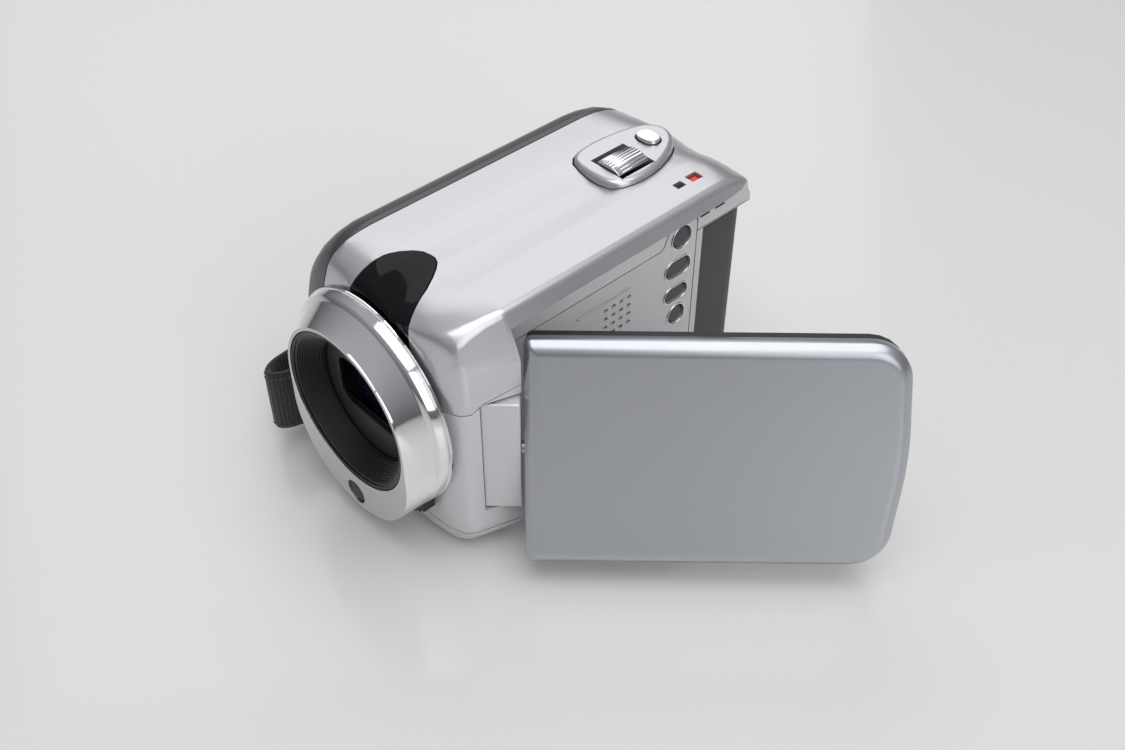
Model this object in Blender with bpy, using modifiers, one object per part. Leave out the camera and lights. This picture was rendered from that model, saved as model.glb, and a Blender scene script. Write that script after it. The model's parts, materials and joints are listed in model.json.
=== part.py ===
"""A palm-sized hard-disk camcorder with its screen swung half open, as an assembly of separate pieces.

Metres, +Z up. The origin is on the flat base, midway between the tripod socket and its anti-twist hole.
The lens looks along -Y, the screen is on the +X side and the hand strap on the -X side.
"""

import math

import bmesh
import bpy
from mathutils import Vector

MM = 0.001

# ---------------------------------------------------------------- overall body
BODY_FRONT = -39.0 * MM      # front wall, behind the lens ring
BODY_LENGTH = 89.0 * MM
BODY_HEIGHT = 60.0 * MM
RIGHT_REACH = 27.0 * MM      # from the lens axis to the hand-strap side
LEFT_REACH = 24.2 * MM       # from the lens axis to the screen side, at the front corner
WALL = 1.6 * MM
GAP = 0.3 * MM               # between pieces that meet
BODY_REAR = BODY_FRONT + BODY_LENGTH

# roundings where the long faces turn into the front and the rear
FRONT_RIGHT_ROUND = 5.0 * MM
FRONT_LEFT_LENGTH = 3.6 * MM
FRONT_LEFT_DEPTH = 6.0 * MM
FRONT_TOP_LENGTH = 13.0 * MM
FRONT_TOP_DROP = 4.2 * MM
FRONT_BOTTOM_ROUND = 5.0 * MM
REAR_SIDE_ROUND = 7.0 * MM
REAR_TOP_LENGTH = 16.0 * MM
REAR_TOP_DROP = 8.6 * MM
RIDGE_FALL_LENGTH = 15.0 * MM    # the ridge half falls away sooner towards the rear
RIDGE_FALL = 2.4 * MM
REAR_BOTTOM_ROUND = 4.0 * MM

# corners of the cross-section
TOP_RIGHT_CORNER = 12.0 * MM
FRONT_CORNER_GROWTH = 14.0 * MM   # the top right corner opens out towards the lens ring
FRONT_CORNER_LENGTH = 16.0 * MM
BOTTOM_RIGHT_CORNER = 9.0 * MM
BOTTOM_LEFT_CORNER = 8.0 * MM
RIDGE_CORNER = 1.8 * MM
RIDGE_RISE = 0.4 * MM        # the ridge over the top plane at the front
RIDGE_CLIMB = 0.7 * MM       # and how much more it rises towards the rear
RIDGE_REACH = 25.2 * MM      # from the lens axis to the ridge that overhangs the dock
SHOULDER_RISE = 1.3 * MM     # crown of the top
VALLEY_DEPTH = 1.5 * MM      # shallow valley along the top

# where the casing comes apart
PARTING_X = -15.8 * MM       # top cover against right cover
BASE_TOP = 6.0 * MM          # bottom cover against the rest
CHEEK_SEAM = BODY_HEIGHT - 18.7 * MM   # top cover's cheek against front cover
STRIP_DROP = 10.2 * MM       # top cover's side strip below the top plane
STRIP_SEAM = BODY_HEIGHT - STRIP_DROP

# ---------------------------------------------------------------- lens
LENS_HEIGHT = 32.5 * MM
LENS_LENGTH = 9.0 * MM       # front lip ahead of the body's front wall
LIP_RADIUS = 19.3 * MM
RING_RADIUS = 24.6 * MM      # where the ring meets the body
RING_DROP = 0.2 * MM         # ring's back circle sits this far below the lens axis
CHIN_DROP = 8.2 * MM         # lower lobe of the ring's front face
BORE_RADIUS = LIP_RADIUS - 0.8 * MM
HOOD_THROAT = BORE_RADIUS - 4.1 * MM
HOOD_DEPTH = 6.0 * MM
WINDOW_WIDTH = HOOD_THROAT + 5.6 * MM     # light window in the barrier plate
WINDOW_HEIGHT = HOOD_THROAT - 2.4 * MM
BLADE_THICKNESS = 0.6 * MM
BARREL_RADIUS = BORE_RADIUS - 2.1 * MM
BARREL_LENGTH = 40.0 * MM
LIP_Y = BODY_FRONT - LENS_LENGTH

# ---------------------------------------------------------------- screen and its hinge
SWING_REST = math.radians(44.3)   # how far the screen stands open
TILT_REST = math.radians(15.5)    # how far its top leans back
PANEL_LENGTH = 76.2 * MM
PANEL_HEIGHT = 51.0 * MM
PANEL_THICKNESS = 7.2 * MM
PANEL_CORNER = 8.5 * MM
PANEL_BOW = 1.2 * MM
PANEL_BEVEL = 1.8 * MM
HINGE_AXIS_X = 25.5 * MM
HINGE_AXIS_Y = BODY_FRONT + 9.0 * MM
TILT_Z = 29.0 * MM                # tilt axis, at the middle of the screen
HINGE_LOW = 13.0 * MM
HINGE_HIGH = CHEEK_SEAM + 1.0 * MM
HINGE_FACE = 2.0 * MM             # hinge block's outer face from the swing axis
HINGE_BACK = 2.2 * MM
HINGE_HEEL = 2.3 * MM             # hinge block behind the swing axis, away from the screen
HINGE_REACH = 5.7 * MM            # hinge block from the swing axis towards the screen
HINGE_ROOM = 3.4 * MM             # pocket wall from the swing axis
PIN_RADIUS = 1.1 * MM
SHAFT_RADIUS = 1.3 * MM
SHAFT_PLAY = 0.25 * MM
PANEL_GAP = 0.65 * MM             # hinge block from the screen's edge
PANEL_BACK = 2.2 * MM             # screen side of the panel, from the swing axis
DOCK_CLEARANCE = 1.0 * MM         # closed screen from the side plate
PANEL_START = HINGE_AXIS_Y + HINGE_REACH + PANEL_GAP
PANEL_INNER = HINGE_AXIS_X - PANEL_BACK
PANEL_OUTER = PANEL_INNER + PANEL_THICKNESS
PANEL_SPLIT = PANEL_INNER + 2.8 * MM
DOCK_X = PANEL_INNER - DOCK_CLEARANCE
DOCK_START = PANEL_START - 1.3 * MM

# ---------------------------------------------------------------- rear
BATTERY_WIDTH = 29.0 * MM
BATTERY_DEPTH = 15.5 * MM
BATTERY_HEIGHT = 42.5 * MM
BAY_CLEARANCE = 0.4 * MM
BAY_FRONT = BODY_REAR - BATTERY_DEPTH - BAY_CLEARANCE
RECORD_RADIUS = 4.0 * MM
REAR_STRIP = -22.0 * MM           # right-hand edge of the rear cover

# ---------------------------------------------------------------- controls
PLAY = 0.35 * MM                  # around a button or lever
LEVER_RADIUS = 6.0 * MM
LEVER_LENGTH = 9.2 * MM
LEVER_SWING = 12                  # degrees either way

# ---------------------------------------------------------------- base
TRIPOD_Y = 7.0 * MM               # tripod socket behind the origin, anti-twist hole the same ahead of it
TRIPOD_THREAD = 3.175 * MM        # a quarter-inch tripod screw
TRIPOD_BUSH = 5.4 * MM

# ---------------------------------------------------------------- hand strap
STRAP_HEIGHT = 17.0 * MM
STRAP_THICKNESS = 1.6 * MM
PAD_HEIGHT = 21.0 * MM
PAD_THICKNESS = 5.0 * MM


def start_clean():
    for thing in list(bpy.data.objects):
        bpy.data.objects.remove(thing)


def new_collection(name):
    collection = bpy.data.collections.new(name)
    bpy.context.scene.collection.children.link(collection)
    return collection


start_clean()
MODEL = new_collection("camcorder")
CUTTERS = new_collection("cutters")


def finish(name, color, roughness, metallic=0.0):
    material = bpy.data.materials.new(name)
    material.use_nodes = True
    shader = material.node_tree.nodes["Principled BSDF"]
    shader.inputs["Base Color"].default_value = (*color, 1.0)
    shader.inputs["Roughness"].default_value = roughness
    shader.inputs["Metallic"].default_value = metallic
    return material


SILVER = finish("silver_paint", (0.72, 0.72, 0.74), 0.32, 0.7)
GUNMETAL = finish("gunmetal_paint", (0.16, 0.16, 0.17), 0.35, 0.6)
PLATE_GREY = finish("plate_grey", (0.62, 0.62, 0.65), 0.45, 0.2)
CHROME = finish("chrome", (0.85, 0.85, 0.86), 0.08, 1.0)
BRUSHED = finish("brushed_cover", (0.45, 0.47, 0.52), 0.35, 0.8)
BLACK = finish("matte_black", (0.02, 0.02, 0.02), 0.6)
GLOSS_BLACK = finish("gloss_black", (0.01, 0.01, 0.012), 0.05)
BATTERY_GREY = finish("battery_grey", (0.09, 0.09, 0.1), 0.55)
GLASS = finish("lens_glass", (0.05, 0.06, 0.09), 0.02)
STEEL = finish("steel", (0.5, 0.5, 0.5), 0.3, 1.0)
BOARD_GREEN = finish("board_green", (0.03, 0.16, 0.08), 0.5)
BRASS = finish("brass", (0.7, 0.5, 0.2), 0.3, 1.0)
WEBBING = finish("webbing", (0.02, 0.02, 0.022), 0.9)
RED = finish("red_lamp", (0.8, 0.05, 0.04), 0.3)
DARK_BUTTON = finish("dark_button", (0.08, 0.08, 0.09), 0.25, 0.6)


# ---------------------------------------------------------------- making shapes
def place(name, mesh, coat, location=(0, 0, 0), rotation=(0, 0, 0)):
    thing = bpy.data.objects.new(name, mesh)
    thing.location = location
    thing.rotation_euler = rotation
    MODEL.objects.link(thing)
    if coat:
        mesh.materials.append(coat)
    return thing


def to_mesh(bm, name, smooth=False):
    mesh = bpy.data.meshes.new(name)
    bm.to_mesh(mesh)
    bm.free()
    if smooth:
        mesh.shade_smooth()
        mesh.set_sharp_from_angle(angle=math.radians(35))
    return mesh


def soften(thing, width, segments=2, angle=40):
    bevel = thing.modifiers.new("soft edges", "BEVEL")
    bevel.width = width
    bevel.segments = segments
    bevel.limit_method = "ANGLE"
    bevel.angle_limit = math.radians(angle)
    return thing


def block(name, low, high, coat=None, bevel=0.0, segments=2):
    low, high = Vector(low), Vector(high)
    bm = bmesh.new()
    bmesh.ops.create_cube(bm, size=1.0)
    bmesh.ops.scale(bm, vec=high - low, verts=bm.verts)
    thing = place(name, to_mesh(bm, name), coat, (low + high) / 2)
    if bevel:
        soften(thing, bevel, segments)
    return thing


TURN = {"X": (0, math.pi / 2, 0), "Y": (math.pi / 2, 0, 0), "Z": (0, 0, 0)}


def rod(name, centre, radius, length, axis, coat=None, segments=24, bevel=0.0):
    bm = bmesh.new()
    bmesh.ops.create_cone(bm, cap_ends=True, segments=segments, radius1=radius, radius2=radius, depth=length)
    thing = place(name, to_mesh(bm, name, smooth=True), coat, centre, TURN[axis])
    if bevel:
        soften(thing, bevel)
    return thing


def turned(name, profile, centre, coat, steps=40):
    """A profile of (radius, depth behind the front) points, turned about the lens axis direction."""
    rim = [(radius, -depth) for radius, depth in profile]
    area = sum(a[0] * b[1] - b[0] * a[1] for a, b in zip(rim, rim[1:] + rim[:1]))
    if area > 0:
        rim.reverse()
    closed = all(radius > 0 for radius, _ in rim)
    bm = bmesh.new()
    points = [bm.verts.new((radius, 0, height)) for radius, height in rim]
    pairs = list(zip(points, points[1:])) + ([(points[-1], points[0])] if closed else [])
    for a, b in pairs:
        bm.edges.new((a, b))
    thing = place(name, to_mesh(bm, name), coat, centre, (math.pi / 2, 0, 0))
    screw = thing.modifiers.new("turned", "SCREW")
    screw.axis = "Z"
    screw.steps = screw.render_steps = steps
    screw.use_merge_vertices = True
    screw.merge_threshold = 0.00001
    return thing


FACING = {
    "X": (math.pi / 2, 0, math.pi / 2),   # outline (y, z), thickness along X
    "Y": (math.pi / 2, 0, 0),             # outline (x, z), thickness along -Y
    "Z": (0, 0, 0),                       # outline (x, y), thickness along Z
}


def outline_plate(name, outline, low, high, facing, coat=None, bevel=0.0, segments=2):
    """A flat outline given thickness from low to high along the axis it faces."""
    curve = bpy.data.curves.new(name, "CURVE")
    curve.dimensions = "2D"
    curve.fill_mode = "BOTH"
    curve.extrude = (high - low) / 2
    spline = curve.splines.new("POLY")
    spline.points.add(len(outline) - 1)
    for point, (u, v) in zip(spline.points, outline):
        point.co = (u, v, 0, 1)
    spline.use_cyclic_u = True
    guide = bpy.data.objects.new(name + "_guide", curve)
    MODEL.objects.link(guide)
    bpy.context.view_layer.update()
    mesh = bpy.data.meshes.new_from_object(guide.evaluated_get(bpy.context.evaluated_depsgraph_get()))
    bpy.data.objects.remove(guide)
    bm = bmesh.new()
    bm.from_mesh(mesh)
    bmesh.ops.remove_doubles(bm, verts=bm.verts, dist=0.000005)
    bmesh.ops.dissolve_limit(bm, angle_limit=0.001, verts=bm.verts, edges=bm.edges)
    bmesh.ops.recalc_face_normals(bm, faces=bm.faces)
    bm.to_mesh(mesh)
    bm.free()
    mesh.name = name
    mesh.materials.clear()
    middle = (low + high) / 2
    centre = {"X": (middle, 0, 0), "Y": (0, middle, 0), "Z": (0, 0, middle)}[facing]
    thing = place(name, mesh, coat, centre, FACING[facing])
    if bevel:
        soften(thing, bevel, segments)
    return thing


def rounded(low, high, radius, steps=4):
    """Outline of a rectangle from low to high whose corners are arcs."""
    (u0, v0), (u1, v1) = low, high
    radius = min(radius, (u1 - u0) / 2, (v1 - v0) / 2)
    corners = [(u1 - radius, v0 + radius, -90), (u1 - radius, v1 - radius, 0),
               (u0 + radius, v1 - radius, 90), (u0 + radius, v0 + radius, 180)]
    points = []
    for u, v, start in corners:
        for step in range(steps + 1):
            turn = math.radians(start + 90 * step / steps)
            point = (u + radius * math.cos(turn), v + radius * math.sin(turn))
            if not points or math.dist(point, points[-1]) > 0.00002:
                points.append(point)
    if math.dist(points[0], points[-1]) < 0.00002:
        points.pop()
    return points


def flowing(points, steps=3):
    """A closed outline that runs smoothly through the points."""
    count, outline = len(points), []
    for k in range(count):
        before, a, b, after = (Vector(points[(k + j) % count]) for j in (-1, 0, 1, 2))
        for step in range(steps):
            t = step / steps
            outline.append(0.5 * (2 * a + (b - before) * t + (2 * before - 5 * a + 4 * b - after) * t ** 2
                                  + (3 * a - before - 3 * b + after) * t ** 3))
    return outline


def spread(outline, margin):
    """A convex outline moved outwards by a margin."""
    middle = sum((Vector(point) for point in outline), Vector((0, 0))) / len(outline)
    return [Vector(point) + (Vector(point) - middle).normalized() * margin * 1.15 for point in outline]


def grown(low, high, margin):
    return [a - margin for a in low], [a + margin for a in high]


def loft(name, rings, coat=None, smooth=True):
    """A closed skin over rings of points that all have the same count."""
    bm = bmesh.new()
    rows = [[bm.verts.new(point) for point in ring] for ring in rings]
    count = len(rows[0])
    for row, after in zip(rows, rows[1:]):
        for k in range(count):
            bm.faces.new((row[k], row[(k + 1) % count], after[(k + 1) % count], after[k]))
    bm.faces.new(rows[0])
    bm.faces.new(rows[-1])
    bmesh.ops.recalc_face_normals(bm, faces=bm.faces)
    return place(name, to_mesh(bm, name, smooth), coat)


def combine(thing, other, operation):
    step = thing.modifiers.new(operation.lower(), "BOOLEAN")
    step.operation = operation
    step.object = other
    if other.name not in CUTTERS.objects:
        MODEL.objects.unlink(other)
        CUTTERS.objects.link(other)
        other.hide_render = True
        other.display_type = "WIRE"
    return thing


def cut(thing, *cutters):
    for cutter in cutters:
        combine(thing, cutter, "DIFFERENCE")
    return thing


def keep(thing, region):
    return combine(thing, region, "INTERSECT")


def join(thing, *others):
    for other in others:
        combine(thing, other, "UNION")
    return thing


# ---------------------------------------------------------------- the casing's form
def drawn_in(distance, length, depth):
    """How far a face has turned in at this distance from the end, on a quarter ellipse."""
    if distance >= length:
        return 0.0
    reach = 1.0 - max(distance, 0.0) / length
    return depth * (1.0 - math.sqrt(1.0 - reach * reach))


def top_crown(along):
    """Rise of the top surface from its right-hand edge (0) to the ridge (1)."""
    dip = math.exp(-((along - 0.56) / 0.17) ** 2)
    return SHOULDER_RISE * math.sin(math.pi * along) - VALLEY_DEPTH * dip


def arc(u, v, radius, start, stop, steps):
    turns = [math.radians(start + (stop - start) * k / steps) for k in range(steps + 1)]
    return [(u + radius * math.cos(turn), v + radius * math.sin(turn)) for turn in turns]


CHEEK_FLARE = 4.5 * MM       # the cheek stands out over the hinge
BEVEL_LOW = 8.8 * MM         # the cheek's bevel, below the top plane
BEVEL_HIGH = 6.3 * MM


def body_section(y, inset):
    """Cross-section at y, moved in by inset, as (x, z) points from the bottom left round to the ridge."""
    ahead = y - (BODY_FRONT + inset)
    behind = (BODY_REAR - inset) - y
    along = min(1.0, max(0.0, (y - BODY_FRONT) / (DOCK_START - BODY_FRONT)))
    rear = drawn_in(behind, REAR_SIDE_ROUND - inset, REAR_SIDE_ROUND - inset)
    nose = drawn_in(ahead, FRONT_LEFT_LENGTH, FRONT_LEFT_DEPTH)
    left = LEFT_REACH + CHEEK_FLARE * along - inset - nose - rear
    ridge = RIDGE_REACH - 2 * MM * (1 - along) - inset - nose - rear
    right = -(RIGHT_REACH - inset - rear - drawn_in(ahead, FRONT_RIGHT_ROUND - inset, FRONT_RIGHT_ROUND - inset))
    top = (BODY_HEIGHT - inset - drawn_in(ahead, FRONT_TOP_LENGTH - inset, FRONT_TOP_DROP)
           - drawn_in(behind, REAR_TOP_LENGTH - inset, REAR_TOP_DROP))
    bottom = (inset + drawn_in(ahead, FRONT_BOTTOM_ROUND - inset, FRONT_BOTTOM_ROUND - inset)
              + drawn_in(behind, REAR_BOTTOM_ROUND - inset, REAR_BOTTOM_ROUND - inset))
    low_left, low_right = BOTTOM_LEFT_CORNER - inset, BOTTOM_RIGHT_CORNER - inset
    growth = drawn_in(ahead, FRONT_CORNER_LENGTH, FRONT_CORNER_GROWTH)
    high_right = TOP_RIGHT_CORNER + growth - inset
    high_left = max(RIDGE_CORNER + 0.4 * growth - inset, 0.3 * MM)
    rise = RIDGE_RISE + RIDGE_CLIMB * along - drawn_in(behind, RIDGE_FALL_LENGTH - inset, RIDGE_FALL)
    crest = top + rise
    points = arc(left - low_left, bottom + low_left, low_left, -90, 0, 4)
    points += [(left, min(BODY_HEIGHT - BEVEL_LOW - inset, crest - high_left - 0.8 * MM)),
               (left - 0.9 * MM, min(BODY_HEIGHT - BEVEL_HIGH - inset, crest - high_left - 0.4 * MM))]
    points += arc(ridge - high_left, crest - high_left, high_left, 15, 90, 3)
    start, end = ridge - high_left, right + high_right
    for k in range(1, 8):
        crown = top_crown(1.0 - k / 8) * (1 - growth / (2 * FRONT_CORNER_GROWTH))
        points.append((start + (end - start) * k / 8, top + crown + rise * (1 - k / 8) ** 2))
    points += arc(right + high_right, top - high_right, high_right, 90, 180, 7)
    points += arc(right + low_right, bottom + low_right, low_right, 180, 270, 4)
    return points


def stations(inset):
    """Places along the body for sections: close together where the ends turn."""
    front, rear = BODY_FRONT + inset, BODY_REAR - inset
    turns = [math.radians(15 * k) for k in range(7)]
    places = [front + (FRONT_TOP_LENGTH - inset) * (1 - math.cos(turn)) for turn in turns]
    places += [front + 2.6 * MM, front + 3.7 * MM, DOCK_START, DOCK_START + 12 * MM]
    places += [rear - (REAR_TOP_LENGTH - inset) * (1 - math.cos(turn)) for turn in reversed(turns)]
    spaced = []
    for y in sorted(places):
        if not spaced or y - spaced[-1] > 0.4 * MM:
            spaced.append(y)
    return spaced[:-1] + [rear]


def body_form(name, inset, coat=None):
    rings = [[(x, y, z) for x, z in body_section(y, inset)] for y in stations(inset)]
    return loft(name, rings, coat)


FAR = 80 * MM
DOCK_TOP = BODY_HEIGHT - 2.6 * MM
POCKET_LOW = (HINGE_AXIS_X - HINGE_ROOM, HINGE_AXIS_Y - HINGE_ROOM, HINGE_LOW - 0.5 * MM)
POCKET_HIGH = (FAR, DOCK_START + 0.4 * MM, HINGE_HIGH + 0.5 * MM)
BATTERY_LEFT = DOCK_X - 0.9 * MM
BAY_LOW = (BATTERY_LEFT - BATTERY_WIDTH - BAY_CLEARANCE, BAY_FRONT, BASE_TOP + 0.9 * MM)
BAY_HIGH = (FAR, FAR, STRIP_SEAM - 0.4 * MM)


def hollows(inset):
    """What is taken out of the body's form: screen dock, hinge pocket and battery bay, grown by inset."""
    dock = block("dock_cut", *grown((DOCK_X, DOCK_START, -FAR), (FAR, FAR, DOCK_TOP), inset))
    pocket = block("pocket_cut", *grown(POCKET_LOW, POCKET_HIGH, inset))
    bay = block("bay_cut", *grown(BAY_LOW, BAY_HIGH, inset))
    return dock, pocket, bay


def casing_tools():
    """The inner void of the casing, shared by every cover, and the hollows cut into its outside."""
    void = cut(body_form("void", WALL), *hollows(WALL))
    return void, hollows(0.0)


def cover(name, void, outside, region, coat):
    shell = cut(body_form(name, 0.0, coat), *outside, void)
    return keep(shell, region)


def casing():
    void, outside = casing_tools()
    split_y = DOCK_START + 1.4 * MM
    cheek = [(-FAR, CHEEK_SEAM), (BODY_FRONT + 4 * MM, CHEEK_SEAM), (POCKET_LOW[1] + 0.8 * MM, POCKET_HIGH[2] + GAP),
             (split_y, POCKET_HIGH[2] + 2.6 * MM)]
    top_outline = cheek + [(split_y, STRIP_SEAM), (FAR, STRIP_SEAM), (FAR, FAR * 1.2), (-FAR, FAR * 1.2)]
    top_region = outline_plate("top_region", top_outline, PARTING_X, FAR, "X")
    top = cover("top_cover", void, outside, top_region, SILVER)

    right_region = block("right_region", (-FAR, -FAR, BASE_TOP + GAP), (PARTING_X - GAP, FAR, FAR))
    right = cover("right_cover", void, outside, right_region, GUNMETAL)
    cut(right, block("rear_strip_room", (REAR_STRIP - GAP, BODY_REAR - REAR_SIDE_ROUND - GAP, -FAR),
                     (FAR, FAR, STRIP_SEAM)))

    low = BASE_TOP + GAP
    front_outline = [(y, z - GAP) for y, z in cheek] + [(split_y, low), (-FAR, low)]
    front_region = outline_plate("front_region", front_outline, PARTING_X, FAR, "X")
    front = cover("front_cover", void, outside, front_region, PLATE_GREY)
    cut(front, block("front_corner", (PARTING_X - 1 * MM, -FAR, LENS_HEIGHT), (0, FAR, FAR)))

    base_region = block("base_region", (-FAR, -FAR, -FAR), (FAR, FAR, BASE_TOP))
    bottom = cover("bottom_cover", void, outside, base_region, PLATE_GREY)

    low, high = BASE_TOP + GAP, STRIP_SEAM - GAP
    plan = [(REAR_STRIP, BODY_REAR - REAR_SIDE_ROUND), (REAR_STRIP, FAR), (FAR, FAR),
            (FAR, BAY_FRONT - WALL - 0.2 * MM), (PARTING_X, BAY_FRONT - WALL - 0.2 * MM),
            (PARTING_X, BODY_REAR - REAR_SIDE_ROUND)]
    rear = cover("rear_cover", void, outside, outline_plate("rear_region", plan, low, high, "Z"), PLATE_GREY)
    return top, right, front, bottom, rear


TOP, RIGHT, FRONT, BOTTOM, REAR = casing()


# ---------------------------------------------------------------- lens
def ring_outline(share):
    """Outline of the lens ring as (x, z): 0 is the front face with its chin, 1 the circle at the body."""
    points = []
    half = 22
    for k in range(2 * half):
        lower = k >= half
        turn = math.pi * (k - half if lower else k) / (half - 1) + (math.pi if lower else 0)
        front = (LIP_RADIUS * math.cos(turn), LENS_HEIGHT - (CHIN_DROP if lower else 0) + LIP_RADIUS * math.sin(turn))
        turn = math.pi * (k + 0.5) / half
        back = (RING_RADIUS * math.cos(turn), LENS_HEIGHT - RING_DROP + RING_RADIUS * math.sin(turn))
        points.append([a + share * (b - a) for a, b in zip(front, back)])
    return points


def lens():
    centre = (0, LIP_Y, LENS_HEIGHT)
    ring_back = LENS_LENGTH - 0.6 * MM
    steps = [(0, 0), (0.5, 0.04), (5.2, 0.66), (5.8, 0.82), (7.4, 0.93), (7.55, 0.89), (7.8, 0.89), (7.95, 1.0)]
    rings = [[(x, LIP_Y + depth * MM, z) for x, z in ring_outline(share)] for depth, share in steps]
    rings.append([(x, LIP_Y + ring_back, z) for x, z in ring_outline(1.0)])
    ring = loft("lens_ring", rings, CHROME)
    cut(ring, rod("ring_bore", (0, LIP_Y, LENS_HEIGHT), BORE_RADIUS, 40 * MM, "Y", segments=48))
    chin_z = LENS_HEIGHT - LIP_RADIUS - CHIN_DROP / 2 - 0.4 * MM
    window = rod("ir_window", (0, LIP_Y + 1.6 * MM, chin_z), 2.6 * MM, 2.4 * MM, "Y", GLOSS_BLACK)
    cut(ring, rod("ir_hole", (0, LIP_Y, chin_z), 2.6 * MM + GAP, 7 * MM, "Y"))

    hood_outer = BORE_RADIUS - GAP
    turned("lens_hood", [(hood_outer, 0.5 * MM), (hood_outer, HOOD_DEPTH), (HOOD_THROAT, HOOD_DEPTH),
                         (HOOD_THROAT, HOOD_DEPTH - 0.8 * MM), (hood_outer - 0.9 * MM, 0.5 * MM)], centre, BLACK)
    plate_front = HOOD_DEPTH + GAP
    plate = rod("barrier_plate", (0, LIP_Y + plate_front + 0.4 * MM, LENS_HEIGHT), hood_outer, 0.8 * MM, "Y",
                BLACK, 40)
    light = rounded((-WINDOW_WIDTH / 2, LENS_HEIGHT - WINDOW_HEIGHT / 2),
                    (WINDOW_WIDTH / 2, LENS_HEIGHT + WINDOW_HEIGHT / 2), 3 * MM)
    cut(plate, outline_plate("light_window", light, LIP_Y, LIP_Y + 20 * MM, "Y"))
    blades(plate_front + 0.8 * MM + GAP)

    barrel_start = plate_front + 0.8 * MM + 2 * GAP + BLADE_THICKNESS + 0.2 * MM
    barrel_end = barrel_start + BARREL_LENGTH
    inner = BARREL_RADIUS - 1.4 * MM
    turned("lens_barrel", [(BARREL_RADIUS, barrel_start), (BARREL_RADIUS, barrel_end), (7.5 * MM, barrel_end),
                           (7.5 * MM, barrel_end - 1.4 * MM), (inner, barrel_end - 1.4 * MM),
                           (inner, barrel_start)], centre, BLACK)
    glass(centre, "front_lens", barrel_start + 0.5 * MM, inner - GAP, 4.0 * MM, 2.4 * MM)
    glass(centre, "zoom_lens", barrel_start + 14 * MM, inner - GAP, 3.0 * MM, 1.2 * MM)
    glass(centre, "focus_lens", barrel_start + 26 * MM, inner - GAP, 3.0 * MM, 1.2 * MM)
    sensor_y = LIP_Y + barrel_end + GAP
    block("image_sensor", (-8 * MM, sensor_y, LENS_HEIGHT - 7 * MM), (8 * MM, sensor_y + 2.2 * MM, LENS_HEIGHT + 7 * MM),
          BOARD_GREEN)
    bore = rod("barrel_bore", (0, BODY_FRONT, LENS_HEIGHT), BARREL_RADIUS + GAP, 12 * MM, "Y", segments=40)
    cut(TOP, bore)
    cut(FRONT, bore)
    cut(RIGHT, bore)
    return ring, window


def glass(centre, name, depth, radius, edge, bulge):
    front = [(radius * math.sin(math.radians(a)), depth + bulge * (1 - math.cos(math.radians(a))) / 1.0)
             for a in (0, 30, 60, 90)]
    turned(name, front + [(radius, depth + bulge + edge), (0, depth + bulge + edge)], centre, GLASS, 32)




def blades(depth):
    """Two circle segments that stand clear of the light window when it is open, above and below it."""
    y = LIP_Y + depth
    radius = BORE_RADIUS - 1.0 * MM
    edge = math.degrees(math.asin((WINDOW_HEIGHT / 2 + 0.5 * MM) / radius))
    for name, side in (("barrier_blade_upper", 1), ("barrier_blade_lower", -1)):
        segment = arc(0, LENS_HEIGHT, radius, side * edge, side * (180 - edge), 12)
        outline_plate(name, segment, y, y + BLADE_THICKNESS, "Y", DARK_BUTTON)


SWITCH_INNER = RING_RADIUS + 0.5 * MM


def barrier_switch():
    """Ribbed slide that rides round the underside of the ring."""
    outline = [(SWITCH_INNER, -49), (SWITCH_INNER, -55.5), (SWITCH_INNER, -62)]
    for turn in (-61.5, -57.5, -53.5):
        outline += [(SWITCH_INNER + 1.0 * MM, turn), (SWITCH_INNER + 1.7 * MM, turn + 0.7),
                    (SWITCH_INNER + 1.7 * MM, turn + 1.7), (SWITCH_INNER + 1.0 * MM, turn + 2.4)]
    outline = [(r * math.cos(math.radians(a)), LENS_HEIGHT - RING_DROP + r * math.sin(math.radians(a))) for r, a in outline]
    outline_plate("barrier_switch", outline, BODY_FRONT - 3.4 * MM, BODY_FRONT - GAP, "Y", BLACK)


# ---------------------------------------------------------------- lamp window, top controls
def lamp_window():
    plan = [(-5.0, -6.0), (-5.6, 2.6), (-5.0, 8.4), (-1.8, 13.2), (1.2, 14.9), (3.6, 14.6), (6.6, 10.9), (9.6, 5.1),
            (13.6, -6.0)]
    plan = flowing([(x * MM, BODY_FRONT + y * MM) for x, y in plan], 2)
    lamp = cut(body_form("lamp_window", 0.0, GLOSS_BLACK), body_form("lamp_inner", WALL * 0.7))
    low = LENS_HEIGHT + BARREL_RADIUS + 1.2 * MM
    keep(lamp, outline_plate("lamp_region", plan, low, FAR, "Z"))
    for casing_cover in (TOP, FRONT):
        cut(casing_cover, outline_plate("lamp_hole", spread(plan, GAP), low - GAP, FAR, "Z"))


LEVER_X = 5.4 * MM
LEVER_Y = BODY_REAR - 24.2 * MM
SNAP_X = 3.0 * MM
SNAP_Y = BODY_REAR - 13.8 * MM
PANEL_TOP = BODY_HEIGHT + 2.2 * MM     # the zoom panel stands above the top cover
LEVER_TOP = PANEL_TOP + 1.0 * MM
# plan of the zoom panel: x, and y ahead of the body's rear, in millimetres
ZOOM_PLAN = [(3.6, 32.4), (9.6, 31.6), (11.9, 27.4), (12.0, 21.6), (10.2, 15.4), (7.0, 9.8), (2.8, 7.2), (-1.2, 8.4),
             (-3.6, 12.6), (-4.9, 20.4), (-4.7, 27.4), (-2.2, 31.4)]


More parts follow.
